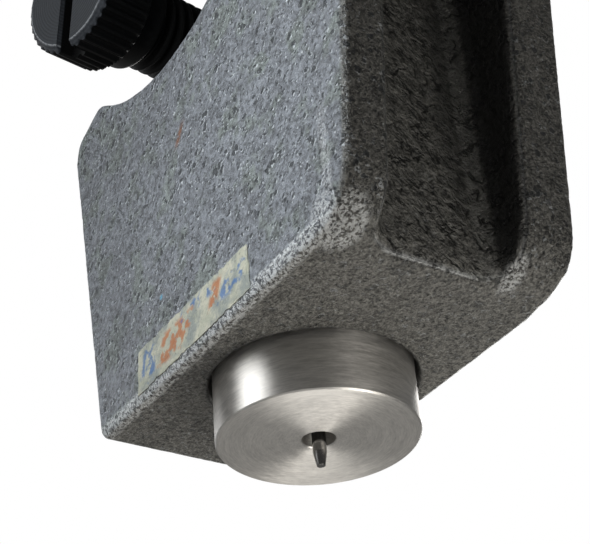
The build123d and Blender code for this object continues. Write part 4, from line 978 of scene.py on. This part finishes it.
def tape_sheet():
    """The tape: thin, slightly wrinkled, with ragged edges."""
    nx, nz = 110, 28
    thick = (tape_hi.y - tape_lo.y) / MM
    verts, faces = [], []
    for layer in (0, 1):
        for i in range(nx + 1):
            for j in range(nz + 1):
                u, w = i / nx, j / nz
                x = tape_lo.x / MM + u * (tape_hi.x - tape_lo.x) / MM
                z = tape_lo.z / MM + w * (tape_hi.z - tape_lo.z) / MM
                edge = min(u * 40, (1 - u) * 40, w * 12, (1 - w) * 12, 1)
                pull = 0.16 * (1 - edge)
                inwards_x, inwards_z = 1 if u < 0.5 else -1, 1 if w < 0.5 else -1
                x += pull * noise.noise(Vector((0.3, z * 1.7, 5.0))) * inwards_x * (u < 0.03 or u > 0.97)
                ragged = abs(noise.noise(Vector((x * 0.9, 2.0, 1.0)))) * 0.35 + 0.04
                z += ragged * inwards_z * (1 - min(w * 8, (1 - w) * 8, 1))
                broad = noise.noise(Vector((x * 0.8, 0, z * 0.8)))
                fine = noise.noise(Vector((x * 3, 1, z * 3)))
                rise = 0.03 + 0.05 * (0.5 + broad) + 0.02 * fine
                y = FRONT / MM - (max(0.02, min(thick - 0.01, rise)) if layer else -0.10)
                verts.append((x * MM, y * MM, z * MM))
    row = nz + 1
    size = (nx + 1) * row
    for layer in (0, 1):
        for i in range(nx):
            for j in range(nz):
                a = layer * size + i * row + j
                faces.append((a, a + 1, a + row + 1, a + row))
    rim = [i * row for i in range(nx)] + [nx * row + j for j in range(nz)]
    rim += [i * row + nz for i in range(nx, 0, -1)] + list(range(nz, 0, -1))
    for a, b in zip(rim, rim[1:] + rim[:1]):
        faces.append((a, b, size + b, size + a))
    ob = make_object("worn_tape", verts, faces, MATS["tape_cream"])
    fix_normals(ob)
    return ob


place(tape_sheet(), "housing", "label_tape", "tape_cream", 50)

# bezel with a milled edge
bezel_lo, bezel_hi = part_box("bezel")
bezel_r = (bezel_hi.x - bezel_lo.x) / 2 / MM
b_front, b_back = bezel_lo.y / MM, bezel_hi.y / MM
crystal_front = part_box("crystal")[0].y / MM
opening = 26.8
seat = 29.7
lip = 0.9
bezel_teeth = 150
bezel_tooth_depth = 0.28
bezel_profile = rounded([(opening, crystal_front), (opening, b_front + lip), (opening + 0.7, b_front),
                         (bezel_r - lip, b_front), (bezel_r, b_front + lip), (bezel_r, b_front + 1.0),
                         (bezel_r, b_back - 0.5), (bezel_r - 0.4, b_back), (seat, b_back), (seat, crystal_front)],
                        [0, 0.2, 0.3, 0.3, 0, 0, 0, 0.15, 0, 0], 4)
milled = lathe("milled_bezel", [(r * MM, y * MM) for r, y in bezel_profile], HEAD, (0, 1, 0), MATS["bezel_metal"],
               teeth=(bezel_teeth, bezel_r * MM, bezel_tooth_depth * MM, (b_front + 0.95) * MM,
                      (b_back - 0.45) * MM))
place(milled, "housing", "bezel", "bezel_metal", 24)

# dial markings: a line for each unit and a number for each ten, as thin raised ink
dial_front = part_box("dial_plate")[0].y
TRAVEL = next(c["ratio"] for c in RECORD["behaviour"]["couplings"] if c["joint"] == "pointer_turn")
sweep = math.degrees(TRAVEL * JOINTS["spindle_slide"]["range_m"][1])
zero = 90 + sweep / 2
INK = 0.03 * MM
INK_SINK = 0.01 * MM        # how far the ink reaches into the dial plate
MARK_OUTER = 25.0
MARKS = {10: (21.6, 0.42), 5: (22.6, 0.26), 1: (23.3, 0.16)}    # for every so many units: inner radius, width
ARC = (24.9, 25.15)         # radii of the line round the marks
ARC_STEPS = 150
NUMBER_RADIUS = 18.6
NUMBER_SIZE = 4.4
CENTRE_X = JOINTS["pointer_turn"]["pos_m"][0]
CENTRE_Z = JOINTS["pointer_turn"]["pos_m"][2]


def ink_bar(inner, outer, width, angle, verts, faces):
    """One thin raised line along a radius of the dial."""
    t = math.radians(angle)
    ray = Vector((math.cos(t), 0, math.sin(t)))
    tangent = Vector((-math.sin(t), 0, math.cos(t)))
    base = len(verts)
    for y in (dial_front + INK_SINK, dial_front - INK):
        for r, w in ((inner, -1), (outer, -1), (outer, 1), (inner, 1)):
            q = Vector((CENTRE_X, y, CENTRE_Z)) + (ray * r + tangent * (w * width / 2)) * MM
            verts.append(q)
    for f in ((0, 1, 2, 3), (4, 7, 6, 5), (0, 4, 5, 1), (1, 5, 6, 2), (2, 6, 7, 3), (3, 7, 4, 0)):
        faces.append(tuple(base + i for i in f))


marks_v, marks_f = [], []
for unit in range(101):
    inner, width = next(MARKS[every] for every in MARKS if unit % every == 0)
    ink_bar(inner, MARK_OUTER, width, zero - sweep * unit / 100, marks_v, marks_f)
for s in range(ARC_STEPS):
    t0, t1 = (math.radians(zero - sweep * q / ARC_STEPS) for q in (s, s + 1))
    base = len(marks_v)
    for y in (dial_front + INK_SINK, dial_front - INK):
        for r, t in ((ARC[0], t0), (ARC[1], t0), (ARC[1], t1), (ARC[0], t1)):
            marks_v.append(Vector((CENTRE_X + r * MM * math.cos(t), y, CENTRE_Z + r * MM * math.sin(t))))
    for f in ((0, 1, 2, 3), (4, 7, 6, 5), (0, 4, 5, 1), (2, 6, 7, 3)):
        marks_f.append(tuple(base + i for i in f))
marks = make_object("dial_marks", marks_v, marks_f, MATS["pointer_black"], smooth=False)
fix_normals(marks)
place(marks, "housing", None, "pointer_black")

numbers_v, numbers_f = [], []
for ten in range(0, 101, 10):
    angle = math.radians(zero - sweep * ten / 100)
    text = bpy.data.curves.new("number", "FONT")
    text.body = str(ten)
    text.align_x = "CENTER"
    text.align_y = "CENTER"
    text.size = NUMBER_SIZE * MM
    text.extrude = INK / 2
    text.resolution_u = 6
    ob = bpy.data.objects.new("number", text)
    scene.collection.objects.link(ob)
    deps = bpy.context.evaluated_depsgraph_get()
    mesh = bpy.data.meshes.new_from_object(ob.evaluated_get(deps))
    base = len(numbers_v)
    at = Vector((CENTRE_X + NUMBER_RADIUS * MM * math.cos(angle), dial_front - INK / 2,
                 CENTRE_Z + NUMBER_RADIUS * MM * math.sin(angle)))
    numbers_v += [at + Vector((q.co.x, -q.co.z, q.co.y)) for q in mesh.vertices]
    numbers_f += [tuple(base + i for i in p.vertices) for p in mesh.polygons]
    bpy.data.objects.remove(ob)
    bpy.data.curves.remove(text)
    bpy.data.meshes.remove(mesh)
numbers = make_object("dial_numbers", numbers_v, numbers_f, MATS["pointer_black"], smooth=False)
fix_normals(numbers)
place(numbers, "housing", None, "pointer_black")

# ---------------------------------------------------------------- floor, world and lamps
scene.view_settings.view_transform = "Standard"


def tree_math(tree, operation, *values):
    """A math node in a floor's or world's tree, fed by sockets and numbers."""
    n = tree.nodes.new("ShaderNodeMath")
    n.operation = operation
    for socket, value in zip(n.inputs, values):
        if isinstance(value, bpy.types.NodeSocket):
            tree.links.new(value, socket)
        else:
            socket.default_value = value
    return n.outputs[0]


def background_share(tree, seen, mirrored, rest):
    """How much of the white background a ray gets: seen or through glass, in a reflection, and otherwise."""
    rays = tree.nodes.new("ShaderNodeLightPath").outputs
    in_reflection = tree_math(tree, "MULTIPLY_ADD", rays["Is Glossy Ray"], mirrored, rest)
    direct = tree_math(tree, "MAXIMUM", rays["Is Camera Ray"], rays["Is Transmission Ray"])
    return tree_math(tree, "MULTIPLY_ADD", direct, seen, in_reflection)


FLOOR_Z = -0.12
floor = make_object("floor", [(-3, -3, 0), (3, -3, 0), (3, 3, 0), (-3, 3, 0)], [(0, 1, 2, 3)])
floor.location = (0, 0, FLOOR_Z)
pale = bpy.data.materials.new("floor_pale")
pale.use_nodes = True
pt = pale.node_tree
pt.nodes.clear()
pale_out = pt.nodes.new("ShaderNodeOutputMaterial")
matt = pt.nodes.new("ShaderNodeBsdfDiffuse")
matt.inputs["Color"].default_value = (0.28, 0.275, 0.265, 1)
glow = pt.nodes.new("ShaderNodeEmission")
glow.inputs["Color"].default_value = (1, 1, 1, 1)
pale_mix = pt.nodes.new("ShaderNodeMixShader")
pt.links.new(background_share(pt, 0.8, 0.13, 0.0), pale_mix.inputs[0])
pt.links.new(matt.outputs[0], pale_mix.inputs[1])
pt.links.new(glow.outputs[0], pale_mix.inputs[2])
pt.links.new(pale_mix.outputs[0], pale_out.inputs[0])
floor.data.materials.append(pale)

world = bpy.data.worlds.new("world")
scene.world = world
world.use_nodes = True
wt = world.node_tree
wt.nodes.clear()
world_out = wt.nodes.new("ShaderNodeOutputWorld")
sky = wt.nodes.new("ShaderNodeBackground")
sky.inputs["Color"].default_value = (1, 1, 1, 1)
wt.links.new(background_share(wt, 0.97, 0.12, 0.03), sky.inputs["Strength"])
wt.links.new(sky.outputs[0], world_out.inputs[0])


def area(name, towards, distance, size, size_y, power, colour=(1, 1, 1), target=(0, 0, 0.02)):
    """A softbox that stands off in a direction from its target."""
    d = bpy.data.lights.new(name, "AREA")
    d.shape = "RECTANGLE"
    d.size = size
    d.size_y = size_y
    d.energy = power
    d.color = colour
    o = bpy.data.objects.new(name, d)
    scene.collection.objects.link(o)
    o.location = Vector(target) + Vector(towards).normalized() * distance
    o.rotation_euler = (-Vector(towards)).to_track_quat("-Z", "Y").to_euler()
    o.visible_camera = False
    return o


area("key", (0.028, -0.088, 0.150), 0.176, 0.04, 0.04, 0.21, (0.92, 0.97, 1.0), (0.0, -0.012, 0.05))
area("strip", (-0.236, -0.881, 0.43), 0.30, 0.13, 0.15, 0.125, (0.95, 0.98, 1.0), (0.0, 0.0, 0.005))
gleam = area("gleam", (-0.236, -0.881, 0.43), 0.31, 0.20, 0.22, 0.29, (0.97, 0.99, 1.0), (0.0, 0.0, 0.005))
gleam.visible_diffuse = False       # it shows only in reflections
near = area("near", (0.021, -0.0426, 0.004), 0.0477, 0.010, 0.010, 0.0200, (0.92, 0.97, 1.0), (0.0, -0.0124, 0.020))
near.visible_glossy = False         # it lights, and doesn't show in reflections
area("under", (0.42, 0.36, -0.83), 0.125, 0.04, 0.04, 0.036, (1.0, 0.97, 0.90), (0.0, 0.0, 0.005))
area("side", (0.085, 0.020, -0.080), 0.117, 0.05, 0.05, 0.024, (1.0, 0.97, 0.92), (0.0, 0.0, 0.005))
area("below", (-0.25, 0.17, -0.95), 0.110, 0.06, 0.06, 0.034, (1.0, 0.98, 0.94), (0.0, 0.0, 0.0))
area("rear", (-0.62, 0.68, 0.40), 0.60, 0.40, 0.40, 2.2, (1.0, 0.99, 0.97), (0, 0, 0.06))
area("left", (-0.97, -0.13, 0.20), 0.60, 0.30, 0.24, 0.45, (0.95, 0.97, 1.0), (0, 0, 0.06))
